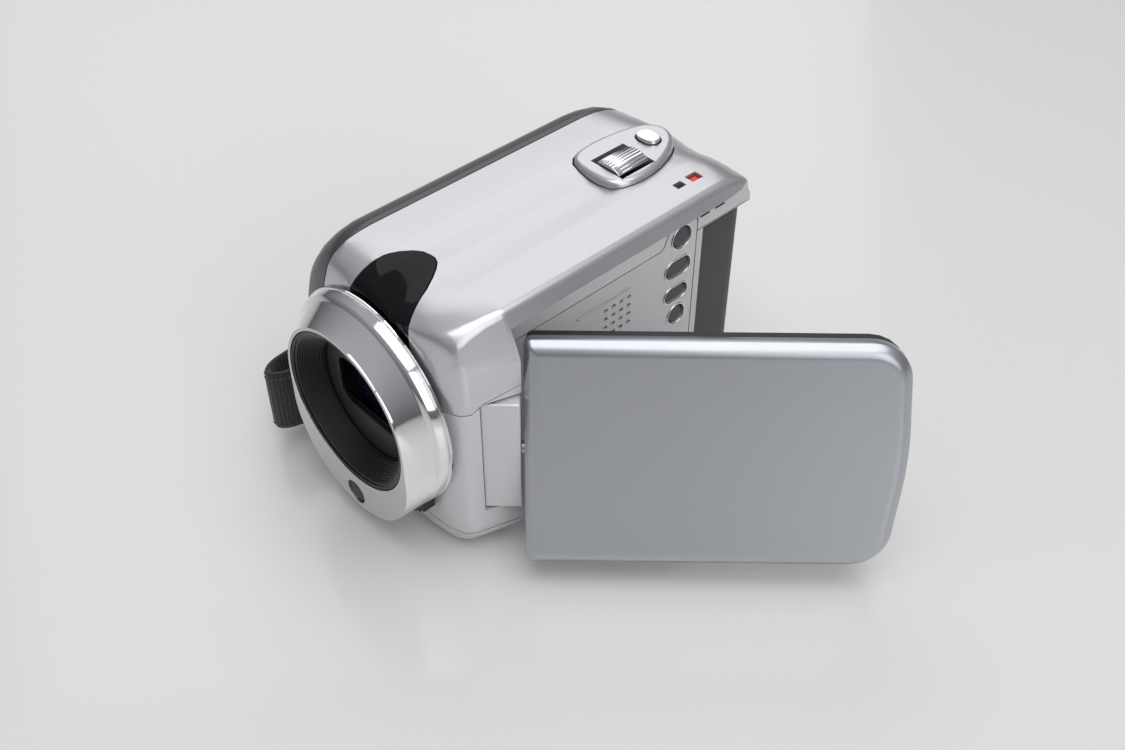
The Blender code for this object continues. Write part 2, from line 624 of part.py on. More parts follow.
def top_controls():
    plan = flowing([(x * MM, BODY_REAR - y * MM) for x, y in ZOOM_PLAN], 2)
    panel = outline_plate("zoom_panel", plan, BODY_HEIGHT - 3.4 * MM, PANEL_TOP, "Z", SILVER, bevel=1.4 * MM, segments=3)
    cut(TOP, outline_plate("zoom_panel_hole", spread(plan, GAP), BODY_HEIGHT - 6 * MM, FAR, "Z"))
    axis_z = LEVER_TOP - LEVER_RADIUS
    turns = [math.radians(a) for a in range(-36, 37, 12)]
    rim = [(LEVER_RADIUS * math.sin(turn), LEVER_RADIUS * math.cos(turn)) for turn in turns]
    rim = [(LEVER_X + x, axis_z + z) for x, z in rim + [(1.2 * MM, 0), (-1.2 * MM, 0)]]
    outline_plate("zoom_lever", rim, LEVER_Y - LEVER_LENGTH / 2, LEVER_Y + LEVER_LENGTH / 2, "Y", CHROME)
    half = LEVER_RADIUS * math.sin(math.radians(36 + LEVER_SWING)) + PLAY
    cut(panel, block("lever_hole", (LEVER_X - half, LEVER_Y - LEVER_LENGTH / 2 - PLAY, BODY_HEIGHT - 8 * MM),
                     (LEVER_X + half, LEVER_Y + LEVER_LENGTH / 2 + PLAY, FAR)))
    low, high = (SNAP_X - 2.9 * MM, SNAP_Y - 2.1 * MM), (SNAP_X + 2.9 * MM, SNAP_Y + 2.1 * MM)
    outline_plate("snapshot_button", rounded(low, high, 2.1 * MM), BODY_HEIGHT - 2.6 * MM, PANEL_TOP + 1.0 * MM, "Z", CHROME,
                  bevel=0.4 * MM)
    cut(panel, outline_plate("snapshot_hole", rounded(*grown(low, high, PLAY), 2.1 * MM + PLAY), BODY_HEIGHT - 8 * MM,
                             FAR, "Z"))
    lamp_y = BODY_REAR - 21.0 * MM
    for name, y, wide, coat in (("access_lamp", lamp_y, 1.4 * MM, BLACK), ("charge_lamp", lamp_y + 4.6 * MM, 2.0 * MM, RED)):
        low = (19.0 * MM - wide / 2, y - wide * 0.7, BODY_HEIGHT - 2.0 * MM)
        high = (19.0 * MM + wide / 2, y + wide * 0.7, BODY_HEIGHT + 0.5 * MM)
        block(name, low, high, coat)
        low, high = grown(low, high, 0.25 * MM)
        low[2], high[2] = BODY_HEIGHT - 5 * MM, FAR
        cut(TOP, block(name + "_hole", low, high))


# ---------------------------------------------------------------- side plate and its controls
PLATE_START = DOCK_START + 1.7 * MM
PLATE_END = BAY_FRONT - WALL - 0.5 * MM
PLATE_LOW = BASE_TOP + GAP
PLATE_HIGH = STRIP_SEAM - GAP
CREST_RISE = 5.0 * MM             # the plate's rear corner stands up round the power button
CREST_LENGTH = 9.2 * MM
# buttons of the side plate: width, height, distance ahead of the plate's end, distance above its top edge
SIDE_BUTTONS = {
    "power_button": (5.0, 5.0, 4.8, 0.9),
    "backlight_button": (7.0, 3.8, 5.4, -7.0),
    "search_button": (6.4, 3.2, 5.5, -14.0),
    "menu_button": (4.4, 4.4, 4.9, -20.4),
}


def crest(margin):
    """The raised rear corner of the side plate as (y, z), from the plate's end forwards, grown by a margin."""
    top, end = PLATE_HIGH + CREST_RISE + margin, PLATE_END + margin
    front = PLATE_END - CREST_LENGTH - margin
    corner, foot = 2.6 * MM, PLATE_HIGH + margin
    points = arc(end - corner, top - corner, corner, 0, 90, 4)
    points += arc(front + corner, top - corner, corner, 90, 165, 4)
    return points + [(front - 0.9 * MM, foot + 0.6 * MM), (front - 2.2 * MM, foot)]


def side_plate():
    low = [(PLATE_START, PLATE_HIGH), (PLATE_START, PLATE_LOW), (PLATE_END, PLATE_LOW)]
    plate = outline_plate("side_plate", low + crest(0.0), DOCK_X - WALL, DOCK_X, "X", PLATE_GREY)
    room = crest(GAP)
    room = [(room[0][0], PLATE_HIGH)] + room[:-1] + [(room[-1][0], PLATE_HIGH + GAP), (room[-1][0], PLATE_HIGH)]
    cut(TOP, outline_plate("crest_room", room, DOCK_X - WALL - 1 * MM, FAR, "X"))
    for name, (wide, tall, ahead, above) in SIDE_BUTTONS.items():
        y, z = PLATE_END - ahead * MM, PLATE_HIGH + above * MM
        wide, tall = wide * MM / 2, tall * MM / 2
        low, high = (y - wide, z - tall), (y + wide, z + tall)
        round_end = min(wide, tall)
        outline_plate(name, rounded(low, high, round_end), DOCK_X - 3.0 * MM, DOCK_X - 0.2 * MM, "X", DARK_BUTTON)
        cut(plate, outline_plate(name + "_hole", rounded(*grown(low, high, PLAY), round_end + PLAY),
                                 DOCK_X - 5 * MM, DOCK_X + 2 * MM, "X"))
    speaker_y, speaker_z = DOCK_START + 33.0 * MM, STRIP_SEAM - 10.4 * MM
    for row in range(4):
        for column in range(4):
            spot = (DOCK_X, speaker_y + (column - 1.5) * 2.3 * MM, speaker_z + (row - 1.5) * 2.3 * MM)
            cut(plate, rod(f"speaker_hole_{row}_{column}", spot, 0.45 * MM, 6 * MM, "X", segments=8))
    speaker = rod("speaker", (DOCK_X - WALL - GAP - 1.6 * MM, speaker_y, speaker_z), 7.0 * MM, 3.2 * MM, "X", BLACK, 28)
    return plate, speaker


# ---------------------------------------------------------------- rear
def rear_end():
    low = [BATTERY_LEFT - BATTERY_WIDTH, BAY_FRONT + BAY_CLEARANCE, BAY_LOW[2] + BAY_CLEARANCE]
    high = [BATTERY_LEFT, BODY_REAR, BAY_LOW[2] + BAY_CLEARANCE + BATTERY_HEIGHT - 1.6 * MM]
    plan = [(low[0], low[1]), (high[0], low[1]), (high[0], high[1] - 5 * MM)]
    plan += arc(high[0] - 5 * MM, high[1] - 5 * MM, 5 * MM, 20, 90, 4) + [(low[0], high[1])]
    battery = outline_plate("battery", plan, low[2], high[2], "Z", BATTERY_GREY, bevel=0.5 * MM)
    contacts_low = (low[0] + 4 * MM, BAY_FRONT - WALL - 2.6 * MM, 16 * MM)
    contacts_high = (low[0] + 14 * MM, BAY_FRONT - 0.2 * MM, 22 * MM)
    block("battery_terminals", contacts_low, contacts_high, BRASS)
    cut(REAR, block("terminal_hole", *grown(contacts_low, contacts_high, GAP)))

    record = (PARTING_X + 0.2 * MM, BODY_REAR - 1.4 * MM, STRIP_SEAM - 7.0 * MM)
    rod("record_button", record, RECORD_RADIUS, 5.0 * MM, "Y", CHROME, bevel=0.5 * MM)
    hole = rod("record_hole", record, RECORD_RADIUS + PLAY, 12 * MM, "Y")
    flap_low = (REAR_STRIP + 2.2 * MM, BODY_REAR - 0.9 * MM, 12.0 * MM)
    flap_high = (REAR_STRIP + 10.6 * MM, BODY_REAR + 0.3 * MM, 33.0 * MM)
    block("jack_cover", flap_low, flap_high, BLACK, bevel=0.3 * MM)
    flap_room = block("jack_opening", grown(flap_low, flap_high, GAP)[0],
                      [v + GAP for v in flap_high[:1]] + [FAR, flap_high[2] + GAP])
    cut(REAR, hole, flap_room)
    for name, z, coat in (("power_jack", 17.0 * MM, BLACK), ("data_socket", 27.0 * MM, STEEL)):
        x = (flap_low[0] + flap_high[0]) / 2
        body = block(name, (x - 3.2 * MM, BODY_REAR - 9.0 * MM, z - 3.2 * MM),
                     (x + 3.2 * MM, BODY_REAR - WALL - 0.2 * MM, z + 3.2 * MM), coat)
        cut(REAR, block(name + "_room", (x - 3.5 * MM, BODY_REAR - 9.3 * MM, z - 3.5 * MM),
                        (x + 3.5 * MM, BODY_REAR, z + 3.5 * MM)))
        cut(body, rod(name + "_bore", (x, BODY_REAR - WALL, z), 1.7 * MM, 9 * MM, "Y", segments=16))
    return battery


# ---------------------------------------------------------------- base
def base():
    latch_x, latch_y = 2.0 * MM, BAY_FRONT - 10.0 * MM
    block("battery_latch", (latch_x - 5 * MM, latch_y - 2.5 * MM, 0.5 * MM), (latch_x + 5 * MM, latch_y + 2.5 * MM, 2.6 * MM),
          BLACK, bevel=0.4 * MM)
    cut(BOTTOM, block("latch_slot", (latch_x - 5.4 * MM, latch_y - 2.9 * MM, -5 * MM),
                      (latch_x + 8.6 * MM, latch_y + 2.9 * MM, WALL + 3 * MM)))
    bush = rod("tripod_socket", (0, TRIPOD_Y, 4.2 * MM), TRIPOD_BUSH, 8.0 * MM, "Z", STEEL, 28)
    cut(bush, rod("tripod_bore", (0, TRIPOD_Y, 2 * MM), TRIPOD_THREAD, 10 * MM, "Z", segments=20))
    cut(BOTTOM, rod("bush_hole", (0, TRIPOD_Y, 0), TRIPOD_BUSH + GAP, 20 * MM, "Z", segments=28),
        rod("pin_hole", (0, -TRIPOD_Y, 0), 2.4 * MM, 20 * MM, "Z", segments=20))

    door_low, door_high = (10.0 * MM, -33.0 * MM, 0.3 * MM), (16.5 * MM, -17.0 * MM, WALL)
    block("card_door", door_low, door_high, PLATE_GREY, bevel=0.2 * MM)
    room_low, room_high = grown(door_low, door_high, GAP)
    room_low[2], room_high[2] = -5 * MM, WALL + 1 * MM
    cut(BOTTOM, block("card_opening", room_low, room_high))
    slot = block("card_socket", (10.6 * MM, -31.6 * MM, WALL + 0.4 * MM), (14.0 * MM, -18.4 * MM, 15.0 * MM), STEEL)
    cut(slot, block("card_slot", (11.4 * MM, -30.6 * MM, 0), (12.9 * MM, -19.4 * MM, 14.0 * MM)))

    for k, (x, y) in enumerate([(-14, -30), (-14, 33), (14, 28), (16, -6)], 1):
        spot = (x * MM, y * MM, 0)
        screw = rod(f"base_screw_{k}", (spot[0], spot[1], 2.2 * MM), 1.0 * MM, 4.0 * MM, "Z", STEEL, 12)
        join(screw, rod(f"head_{k}", (spot[0], spot[1], 0.9 * MM), 1.7 * MM, 1.0 * MM, "Z", segments=16))
        cut(screw, block(f"drive_{k}", (spot[0] - 1.1 * MM, spot[1] - 0.2 * MM, 0), (spot[0] + 1.1 * MM, spot[1] + 0.2 * MM, 0.8 * MM)))
        cut(BOTTOM, rod(f"screw_room_{k}", spot, 1.7 * MM + GAP, 2.6 * MM + 2 * GAP, "Z", segments=16),
            rod(f"screw_bore_{k}", spot, 1.0 * MM + GAP, 12 * MM, "Z", segments=12))


# ---------------------------------------------------------------- inside
def insides():
    block("hard_disk", (-RIGHT_REACH + WALL + 1.6 * MM, -18 * MM, 8 * MM),
          (-RIGHT_REACH + WALL + 6.8 * MM, 36 * MM, BODY_HEIGHT - 14 * MM), STEEL, bevel=0.5 * MM)
    board_y = LIP_Y + HOOD_DEPTH + BARREL_LENGTH + 6 * MM
    block("main_board", (10.0 * MM, board_y, 9 * MM), (11.2 * MM, BAY_FRONT - WALL - 3.4 * MM, BODY_HEIGHT - 13 * MM), BOARD_GREEN)
    block("inner_frame", (-13.5 * MM, board_y, 8.5 * MM), (-12.5 * MM, BAY_FRONT - WALL - 3.4 * MM, BODY_HEIGHT - 9 * MM), STEEL)
    rod("microphone", (17.0 * MM, LIP_Y + LENS_LENGTH + WALL + 4.2 * MM, LENS_HEIGHT - 12.5 * MM), 2.4 * MM, 3.0 * MM,
        "Y", BLACK, 16)


# ---------------------------------------------------------------- screen, built closed and then opened
def panel_outline(inset):
    """Outline of the screen panel as (y, z): square by the hinge, rounded and bowed at the free end."""
    low, high = TILT_Z - PANEL_HEIGHT / 2 + inset, TILT_Z + PANEL_HEIGHT / 2 - inset
    start, end = PANEL_START + inset, PANEL_START + PANEL_LENGTH - inset
    bow = PANEL_BOW
    corner, small = PANEL_CORNER - inset, 1.6 * MM - min(inset, 1.2 * MM)
    points = arc(end - bow - corner, low + corner, corner, -90, -12, 5)
    points += [(end - 0.15 * MM, TILT_Z - 6 * MM), (end, TILT_Z), (end - 0.15 * MM, TILT_Z + 6 * MM)]
    points += arc(end - bow - corner, high - corner, corner, 12, 90, 5)
    points += arc(start + small, high - small, small, 90, 180, 2)
    points += arc(start + small, low + small, small, 180, 270, 2)
    return points


def panel_rings(levels):
    return [[(x, y, z) for y, z in panel_outline(inset)] for x, inset in levels]


def attach(things, empty):
    """Hang pieces on an empty, keeping their place."""
    for thing in things:
        thing.parent = empty
        thing.location = Vector(thing.location) - empty.location


def empty_at(name, location, parent=None):
    empty = bpy.data.objects.new(name, None)
    empty.location = location
    MODEL.objects.link(empty)
    if parent:
        attach([empty], parent)
    return empty


def screen():
    before = set(bpy.data.objects)
    split = PANEL_SPLIT
    case = loft("lcd_cover", panel_rings([(split + GAP, 0.3 * MM), (PANEL_OUTER - PANEL_BEVEL, 0),
                                          (PANEL_OUTER - 0.5 * MM, 1.0 * MM), (PANEL_OUTER, PANEL_BEVEL + 0.6 * MM)]),
                BRUSHED)
    cut(case, loft("case_hollow", panel_rings([(split - 1 * MM, 1.6 * MM), (PANEL_OUTER - 1.4 * MM, 1.6 * MM)])))
    bezel = loft("lcd_bezel", panel_rings([(PANEL_INNER, 0.8 * MM), (PANEL_INNER + 0.6 * MM, 0.3 * MM), (split, 0.3 * MM)]), BLACK)
    glass_low, glass_high = (PANEL_START + 6.4 * MM, TILT_Z - 17.8 * MM), (PANEL_START + 67.4 * MM, TILT_Z + 17.8 * MM)
    outline_plate("lcd_screen", rounded(glass_low, glass_high, 0.8 * MM, 2), PANEL_INNER + 0.4 * MM, PANEL_INNER + 1.3 * MM,
                  "X", GLOSS_BLACK)
    cut(bezel, outline_plate("screen_recess", rounded(*grown(glass_low, glass_high, GAP), 1.1 * MM, 2),
                             PANEL_INNER - 2 * MM, PANEL_INNER + 1.6 * MM, "X"))
    block("lcd_module", (split + GAP + 0.3 * MM, glass_low[0], glass_low[1]),
          (PANEL_OUTER - 1.8 * MM, glass_high[0] - 4 * MM, glass_high[1]), STEEL)
    tab_y = PANEL_START + PANEL_LENGTH
    tab = block("finger_tab_shape", (PANEL_INNER + 0.2 * MM, tab_y - 3 * MM, TILT_Z - 5 * MM),
                (split - 0.2 * MM, tab_y + 0.6 * MM, TILT_Z + 5 * MM), None)
    join(bezel, tab)
    shaft_y = HINGE_AXIS_Y + PIN_RADIUS + 0.9 * MM
    shaft_end = PANEL_START + 5.0 * MM
    shaft = rod("tilt_shaft", (HINGE_AXIS_X, (shaft_y + shaft_end) / 2, TILT_Z), SHAFT_RADIUS, shaft_end - shaft_y, "Y", STEEL, 20)
    bore_end = shaft_end + GAP
    bore = rod("shaft_bore", (HINGE_AXIS_X, (shaft_y - GAP + bore_end) / 2, TILT_Z), SHAFT_RADIUS + SHAFT_PLAY,
               bore_end - shaft_y + GAP, "Y", segments=20)
    cut(case, bore)
    cut(bezel, bore)

    hinge = block("hinge_block", (HINGE_AXIS_X - HINGE_BACK, HINGE_AXIS_Y - HINGE_HEEL, HINGE_LOW),
                  (HINGE_AXIS_X + HINGE_FACE, HINGE_AXIS_Y + HINGE_REACH, HINGE_HIGH), PLATE_GREY, bevel=0.4 * MM)
    cut(hinge, bore, rod("pin_bore", (HINGE_AXIS_X, HINGE_AXIS_Y, TILT_Z), PIN_RADIUS + SHAFT_PLAY, 60 * MM, "Z", segments=16))

    swing = empty_at("swing_axis", (HINGE_AXIS_X, HINGE_AXIS_Y, TILT_Z))
    tilt = empty_at("tilt_axis", (HINGE_AXIS_X, HINGE_AXIS_Y, TILT_Z), swing)
    made = [thing for thing in bpy.data.objects if thing not in before and thing not in (swing, tilt)]
    hung_on_swing = [thing for thing in made if thing.name in ("hinge_block", "pin_bore")]
    hung_on_tilt = [thing for thing in made if thing not in hung_on_swing]
    attach(hung_on_swing, swing)
    for thing in hung_on_tilt:
        thing.parent = tilt
        thing.location = Vector(thing.location) - swing.location
    swing.rotation_euler = (0, 0, -SWING_REST)
    tilt.rotation_euler = (0, -TILT_REST, 0)

    pin_low, pin_high = HINGE_LOW - 1.5 * MM, HINGE_HIGH + 1.5 * MM
    rod("swing_pin", (HINGE_AXIS_X, HINGE_AXIS_Y, (pin_low + pin_high) / 2), PIN_RADIUS, pin_high - pin_low, "Z", STEEL, 16)
    pin_room = rod("pin_room", (HINGE_AXIS_X, HINGE_AXIS_Y, (pin_low + pin_high) / 2), PIN_RADIUS + GAP,
                   pin_high - pin_low + 2 * GAP, "Z", segments=16)
    cut(TOP, pin_room)
    cut(FRONT, pin_room)


# ---------------------------------------------------------------- hand strap
def strap_path(offset):
    """Plan of the strap's middle line, moved outwards by offset: round the front anchor, along, and back in."""
    front_y, rear_y = BODY_FRONT + 5.5 * MM, BODY_REAR - 9.0 * MM
    x = -RIGHT_REACH
    plan = [(x - 2.6 * MM, front_y - 4.0 * MM), (x - 4.2 * MM, front_y - 10.4 * MM), (x - 6.6 * MM, front_y - 12.6 * MM),
            (x - 8.9 * MM, front_y - 9.4 * MM), (x - 9.9 * MM, front_y), (x - 11.8 * MM, front_y + 14 * MM),
            (x - 14.4 * MM, front_y + 33 * MM), (x - 13.6 * MM, rear_y - 14 * MM), (x - 11.0 * MM, rear_y - 4 * MM),
            (x - 6.6 * MM, rear_y + 1.6 * MM), (x - 2.6 * MM, rear_y - 0.4 * MM)]
    points = []
    for k in range(len(plan) - 1):
        before, a = Vector(plan[max(k - 1, 0)]), Vector(plan[k])
        b, after = Vector(plan[k + 1]), Vector(plan[min(k + 2, len(plan) - 1)])
        for step in range(3):
            t = step / 3
            points.append(0.5 * ((2 * a) + (b - before) * t + (2 * before - 5 * a + 4 * b - after) * t ** 2
                                 + (3 * a - before - 3 * b + after) * t ** 3))
    points.append(Vector(plan[-1]))
    moved = []
    for k, point in enumerate(points):
        along = (points[min(k + 1, len(points) - 1)] - points[max(k - 1, 0)]).normalized()
        outward = Vector((-along.y, along.x))
        moved.append((point + outward * offset, outward))
    return moved


STRAP_FRONT_Z = 11.8 * MM
STRAP_REAR_Z = 30.0 * MM
STRAP_LEVEL = 0.42           # share of the strap that runs level before it climbs


def band(name, offset, thickness, height, first, last, coat, corner=0.0):
    path = strap_path(offset)
    count = len(path)
    rings = []
    for k in range(first, count - last):
        point, outward = path[k]
        share = max(0.0, k / (count - 1) - STRAP_LEVEL) / (1 - STRAP_LEVEL)
        z = STRAP_FRONT_Z + (STRAP_REAR_Z - STRAP_FRONT_Z) * share
        half, tall = thickness / 2, height / 2
        corners = [(-half, -tall + corner), (-half + corner * 0.4, -tall), (half - corner * 0.4, -tall), (half, -tall + corner),
                   (half, tall - corner), (half - corner * 0.4, tall), (-half + corner * 0.4, tall), (-half, tall - corner)]
        rings.append([(point.x + outward.x * u, point.y + outward.y * u, z + v) for u, v in corners])
    return loft(name, rings, coat, smooth=False)


def strap():
    band("grip_strap", 0.0, STRAP_THICKNESS, STRAP_HEIGHT, 0, 0, WEBBING, 0.4 * MM)
    band("grip_pad", -(STRAP_THICKNESS / 2 + 0.5 * MM + PAD_THICKNESS / 2), PAD_THICKNESS, PAD_HEIGHT, 12, 7, WEBBING, 2.0 * MM)
    x = -RIGHT_REACH
    for name, y, z in (("strap_lug_front", BODY_FRONT + 5.5 * MM, STRAP_FRONT_Z), ("strap_lug_rear", BODY_REAR - 9.0 * MM, STRAP_REAR_Z)):
        block(name, (x - 1.6 * MM, y - 2.4 * MM, z - 8 * MM), (x - GAP, y + 2.4 * MM, z + 8 * MM), BLACK, bevel=0.3 * MM)


lens()
barrier_switch()
lamp_window()
top_controls()
side_plate()
rear_end()
base()
insides()
screen()
strap()
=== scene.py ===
# %% [markdown]
# A palm-sized camcorder, dressed piece by piece.
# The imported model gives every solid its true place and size. This notebook keeps those sizes
# and gives each visible piece soft edges, smooth shading and a finish of its own.
# The record says which body each solid moves with, which finish slot it has and where the joints
# are, so these are read once and looked up by name from then on.

# %% Load the fixed frame
import json
import math

import bmesh
import bpy
from mathutils import Matrix, Vector


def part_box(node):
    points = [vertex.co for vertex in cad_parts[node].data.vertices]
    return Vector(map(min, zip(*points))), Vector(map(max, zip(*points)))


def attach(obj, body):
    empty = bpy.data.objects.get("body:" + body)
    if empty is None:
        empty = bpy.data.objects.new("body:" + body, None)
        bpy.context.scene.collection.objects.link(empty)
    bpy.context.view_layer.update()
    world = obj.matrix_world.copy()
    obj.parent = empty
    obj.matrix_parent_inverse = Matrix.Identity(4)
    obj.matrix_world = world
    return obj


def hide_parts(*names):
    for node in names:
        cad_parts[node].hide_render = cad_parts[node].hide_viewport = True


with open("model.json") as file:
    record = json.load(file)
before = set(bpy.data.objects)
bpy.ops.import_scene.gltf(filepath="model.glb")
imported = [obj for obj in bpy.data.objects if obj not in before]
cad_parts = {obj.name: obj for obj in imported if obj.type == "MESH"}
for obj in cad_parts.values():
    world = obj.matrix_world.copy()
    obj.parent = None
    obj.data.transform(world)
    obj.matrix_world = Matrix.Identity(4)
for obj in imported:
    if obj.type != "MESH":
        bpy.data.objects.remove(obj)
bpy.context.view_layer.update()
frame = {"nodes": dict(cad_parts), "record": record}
MM = 0.001
BEHAVIOUR = frame["record"]["behaviour"]
BODY_OF = {node: body for body, nodes in BEHAVIOUR["bodies"].items() for node in nodes}
SLOT_OF = {part["node"]: part["material_slot"] for part in frame["record"]["subparts"]}
PIVOT = {joint["name"]: Vector(joint["pos_m"]) for joint in BEHAVIOUR["joints"] if "pos_m" in joint}

# %% [markdown]
# Three small measures are needed all through: the two corners of a solid's box, its middle, and
# evenly spaced turns for anything round. Reading sizes from the solids, and not writing them again,
# keeps every added piece seated when a size of the model changes.

# %% Corners, middles and turns
def corners(node):
    """Lowest and highest corner of a solid's box, in metres."""
    low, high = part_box(node)
    return Vector(low), Vector(high)


def middle_of(node):
    low, high = corners(node)
    return (low + high) / 2


def turns(count):
    """Angles in radians that share a full turn evenly."""
    return [2 * math.pi * k / count for k in range(count)]


print("body mm", [round(size / MM, 1) for size in corners("top_cover")[1] - corners("top_cover")[0]])

# %% [markdown]
# Finishes. Each paint or plastic is one Principled shader. A coarse noise on Object coordinates
# shifts its roughness and a fine one gives the bump, so that no surface is perfectly even: real
# silver paint sparkles faintly and real plastic is never one flat tone. A noise on Object
# coordinates stays put when the camera moves, and it needs no UV map on the many small solids.

# %% A helper that builds one finish
def finish(name, color, rough, metal=0.0, grain=0.0, grain_size=0.3, mottle=0.0, mottle_size=8.0, **sockets):
    """A Principled material. grain is bump strength, mottle is the roughness wander, sizes are in mm."""
    material = bpy.data.materials.new(name)
    material.use_nodes = True
    nodes, links = material.node_tree.nodes, material.node_tree.links
    shader = nodes["Principled BSDF"]
    shader.inputs["Base Color"].default_value = (*color, 1.0)
    shader.inputs["Roughness"].default_value = rough
    shader.inputs["Metallic"].default_value = metal
    for socket, value in sockets.items():
        shader.inputs[socket.replace("_", " ")].default_value = value
    place = nodes.new("ShaderNodeTexCoord")
    per_metre = 1 / MM
    if mottle:
        wander = nodes.new("ShaderNodeTexNoise")
        wander.inputs["Scale"].default_value = per_metre / mottle_size
        wander.inputs["Detail"].default_value = 5.0
        links.new(place.outputs["Object"], wander.inputs["Vector"])
        span = nodes.new("ShaderNodeMapRange")
        span.inputs["To Min"].default_value = max(0.0, rough - mottle)
        span.inputs["To Max"].default_value = rough + mottle
        links.new(wander.outputs["Fac"], span.inputs["Value"])
        links.new(span.outputs["Result"], shader.inputs["Roughness"])
    if grain:
        speck = nodes.new("ShaderNodeTexNoise")
        speck.inputs["Scale"].default_value = per_metre / grain_size
        speck.inputs["Detail"].default_value = 2.0
        links.new(place.outputs["Object"], speck.inputs["Vector"])
        bump = nodes.new("ShaderNodeBump")
        bump.inputs["Strength"].default_value = grain
        bump.inputs["Distance"].default_value = 0.05 * MM
        links.new(speck.outputs["Fac"], bump.inputs["Height"])
        links.new(bump.outputs["Normal"], shader.inputs["Normal"])
    return material


# %% [markdown]
# The finishes of this camcorder. The top is silver paint under a thin clear coat, the side band is
# gunmetal, the front and the side plate are a paler, duller grey moulding. The screen cover is
# pressed metal with a cooler tint. The lamp window is smoked plastic, which shows almost no light
# of its own. Colours are linear values, so what the eye calls mid grey is a much smaller number here.

# %% The paints, plastics and metals
FINISH = {
    "silver_paint": finish(
        "silver_paint", (0.62, 0.625, 0.64), 0.29, 0.78, grain=0.1, grain_size=0.22, mottle=0.03,
        Coat_Weight=0.25, Coat_Roughness=0.12),
    "gunmetal_paint": finish(
        "gunmetal_paint", (0.1, 0.1, 0.105), 0.33, 0.7, grain=0.1, grain_size=0.3, mottle=0.04),
    "plate_grey": finish(
        "plate_grey", (0.68, 0.685, 0.70), 0.4, 0.4, grain=0.14, grain_size=0.3, mottle=0.05),
    "chrome": finish("chrome", (0.8, 0.8, 0.81), 0.1, 1.0, mottle=0.03, mottle_size=5.0),
    "brushed_cover": finish(
        "brushed_cover", (0.47, 0.485, 0.515), 0.3, 0.88, grain=0.14, grain_size=0.2, mottle=0.04),
    "matte_black": finish("matte_black", (0.018, 0.018, 0.019), 0.45, grain=0.2, grain_size=0.4, mottle=0.08),
    "gloss_black": finish("gloss_black", (0.004, 0.004, 0.005), 0.05, mottle=0.015, Specular_IOR_Level=0.2),
    "battery_grey": finish("battery_grey", (0.05, 0.05, 0.055), 0.5, grain=0.3, grain_size=0.35, mottle=0.06),
    "lens_glass": finish(
        "lens_glass", (0.012, 0.01, 0.028), 0.02, mottle=0.01, Coat_Weight=1.0, Coat_Roughness=0.0),
    "steel": finish("steel", (0.5, 0.5, 0.51), 0.3, 1.0, mottle=0.08),
    "board_green": finish("board_green", (0.02, 0.12, 0.05), 0.45, mottle=0.05),
    "brass": finish("brass", (0.75, 0.55, 0.22), 0.25, 1.0, mottle=0.05),
    "red_lamp": finish("red_lamp", (0.75, 0.04, 0.03), 0.2, mottle=0.03),
    "dark_button": finish("dark_button", (0.07, 0.07, 0.078), 0.24, 0.6, mottle=0.05),
}
SATIN = finish("satin_silver", (0.62, 0.62, 0.63), 0.32, 0.9, grain=0.08, grain_size=0.2, mottle=0.04)
# a near-black finish for painted shade: the disc behind the speaker holes and the insets of the catch slots
PAINTED_SHADE = finish("painted_shade_black", (0.006, 0.006, 0.006), 0.7, grain=0.2, grain_size=0.4)
print("finishes", len(FINISH) + 2)

# %% [markdown]
# Woven nylon. The strap's threads follow the strap, so its pattern is laid on a UV map that runs
# along the band in millimetres. Two crossed waves make the over-and-under of the yarn, and a noise
# makes some yarns lighter. An image of cloth would need a file, and would tile visibly.

# %% The webbing
def woven(name, color, along, across, depth):
    """Cloth whose yarns are along and across millimetres wide on the UV map."""
    wave_per_mm = 0.314    # the band texture repeats once in a millimetre at about this scale
    material = finish(name, color, 0.85, Sheen_Weight=0.35, Sheen_Roughness=0.5)
    nodes, links = material.node_tree.nodes, material.node_tree.links
    shader = nodes["Principled BSDF"]
    place = nodes.new("ShaderNodeUVMap")
    waves = []
    for direction, pitch in (("X", along), ("Y", across)):
        wave = nodes.new("ShaderNodeTexWave")
        wave.wave_type = "BANDS"
        wave.bands_direction = direction
        wave.inputs["Scale"].default_value = wave_per_mm / pitch
        wave.inputs["Distortion"].default_value = 0.6
        wave.inputs["Detail Scale"].default_value = 2.0
        links.new(place.outputs["UV"], wave.inputs["Vector"])
        waves.append(wave)
    weave = nodes.new("ShaderNodeMath")
    weave.operation = "MAXIMUM"
    for slot, wave in enumerate(waves):
        links.new(wave.outputs["Fac"], weave.inputs[slot])
    bump = nodes.new("ShaderNodeBump")
    bump.inputs["Strength"].default_value = depth
    bump.inputs["Distance"].default_value = 0.2 * MM
    links.new(weave.outputs["Value"], bump.inputs["Height"])
    links.new(bump.outputs["Normal"], shader.inputs["Normal"])
    yarn = nodes.new("ShaderNodeTexNoise")
    yarn.inputs["Scale"].default_value = 1.4
    links.new(place.outputs["UV"], yarn.inputs["Vector"])
    tone = nodes.new("ShaderNodeValToRGB")
    for element, strength in zip(tone.color_ramp.elements, (0.6, 1.7)):
        element.color = (*[value * strength for value in color], 1)
    links.new(yarn.outputs["Fac"], tone.inputs["Fac"])
    links.new(tone.outputs["Color"], shader.inputs["Base Color"])
    return material


FINISH["webbing"] = woven("webbing", (0.014, 0.014, 0.015), 0.9, 0.6, 0.9)
PAD_CLOTH = woven("pad_cloth", (0.017, 0.017, 0.018), 0.5, 0.5, 0.5)
THREAD = finish("thread", (0.05, 0.05, 0.052), 0.7, grain=0.4, grain_size=0.15, Sheen_Weight=0.3)
print("cloths", FINISH["webbing"].name, PAD_CLOTH.name, THREAD.name)

# %% [markdown]
# The chrome of the lens ring is polished on its upper part and turns satin towards the chin.
# Height on Object coordinates drives the roughness, because the change follows the object and
# not the view.

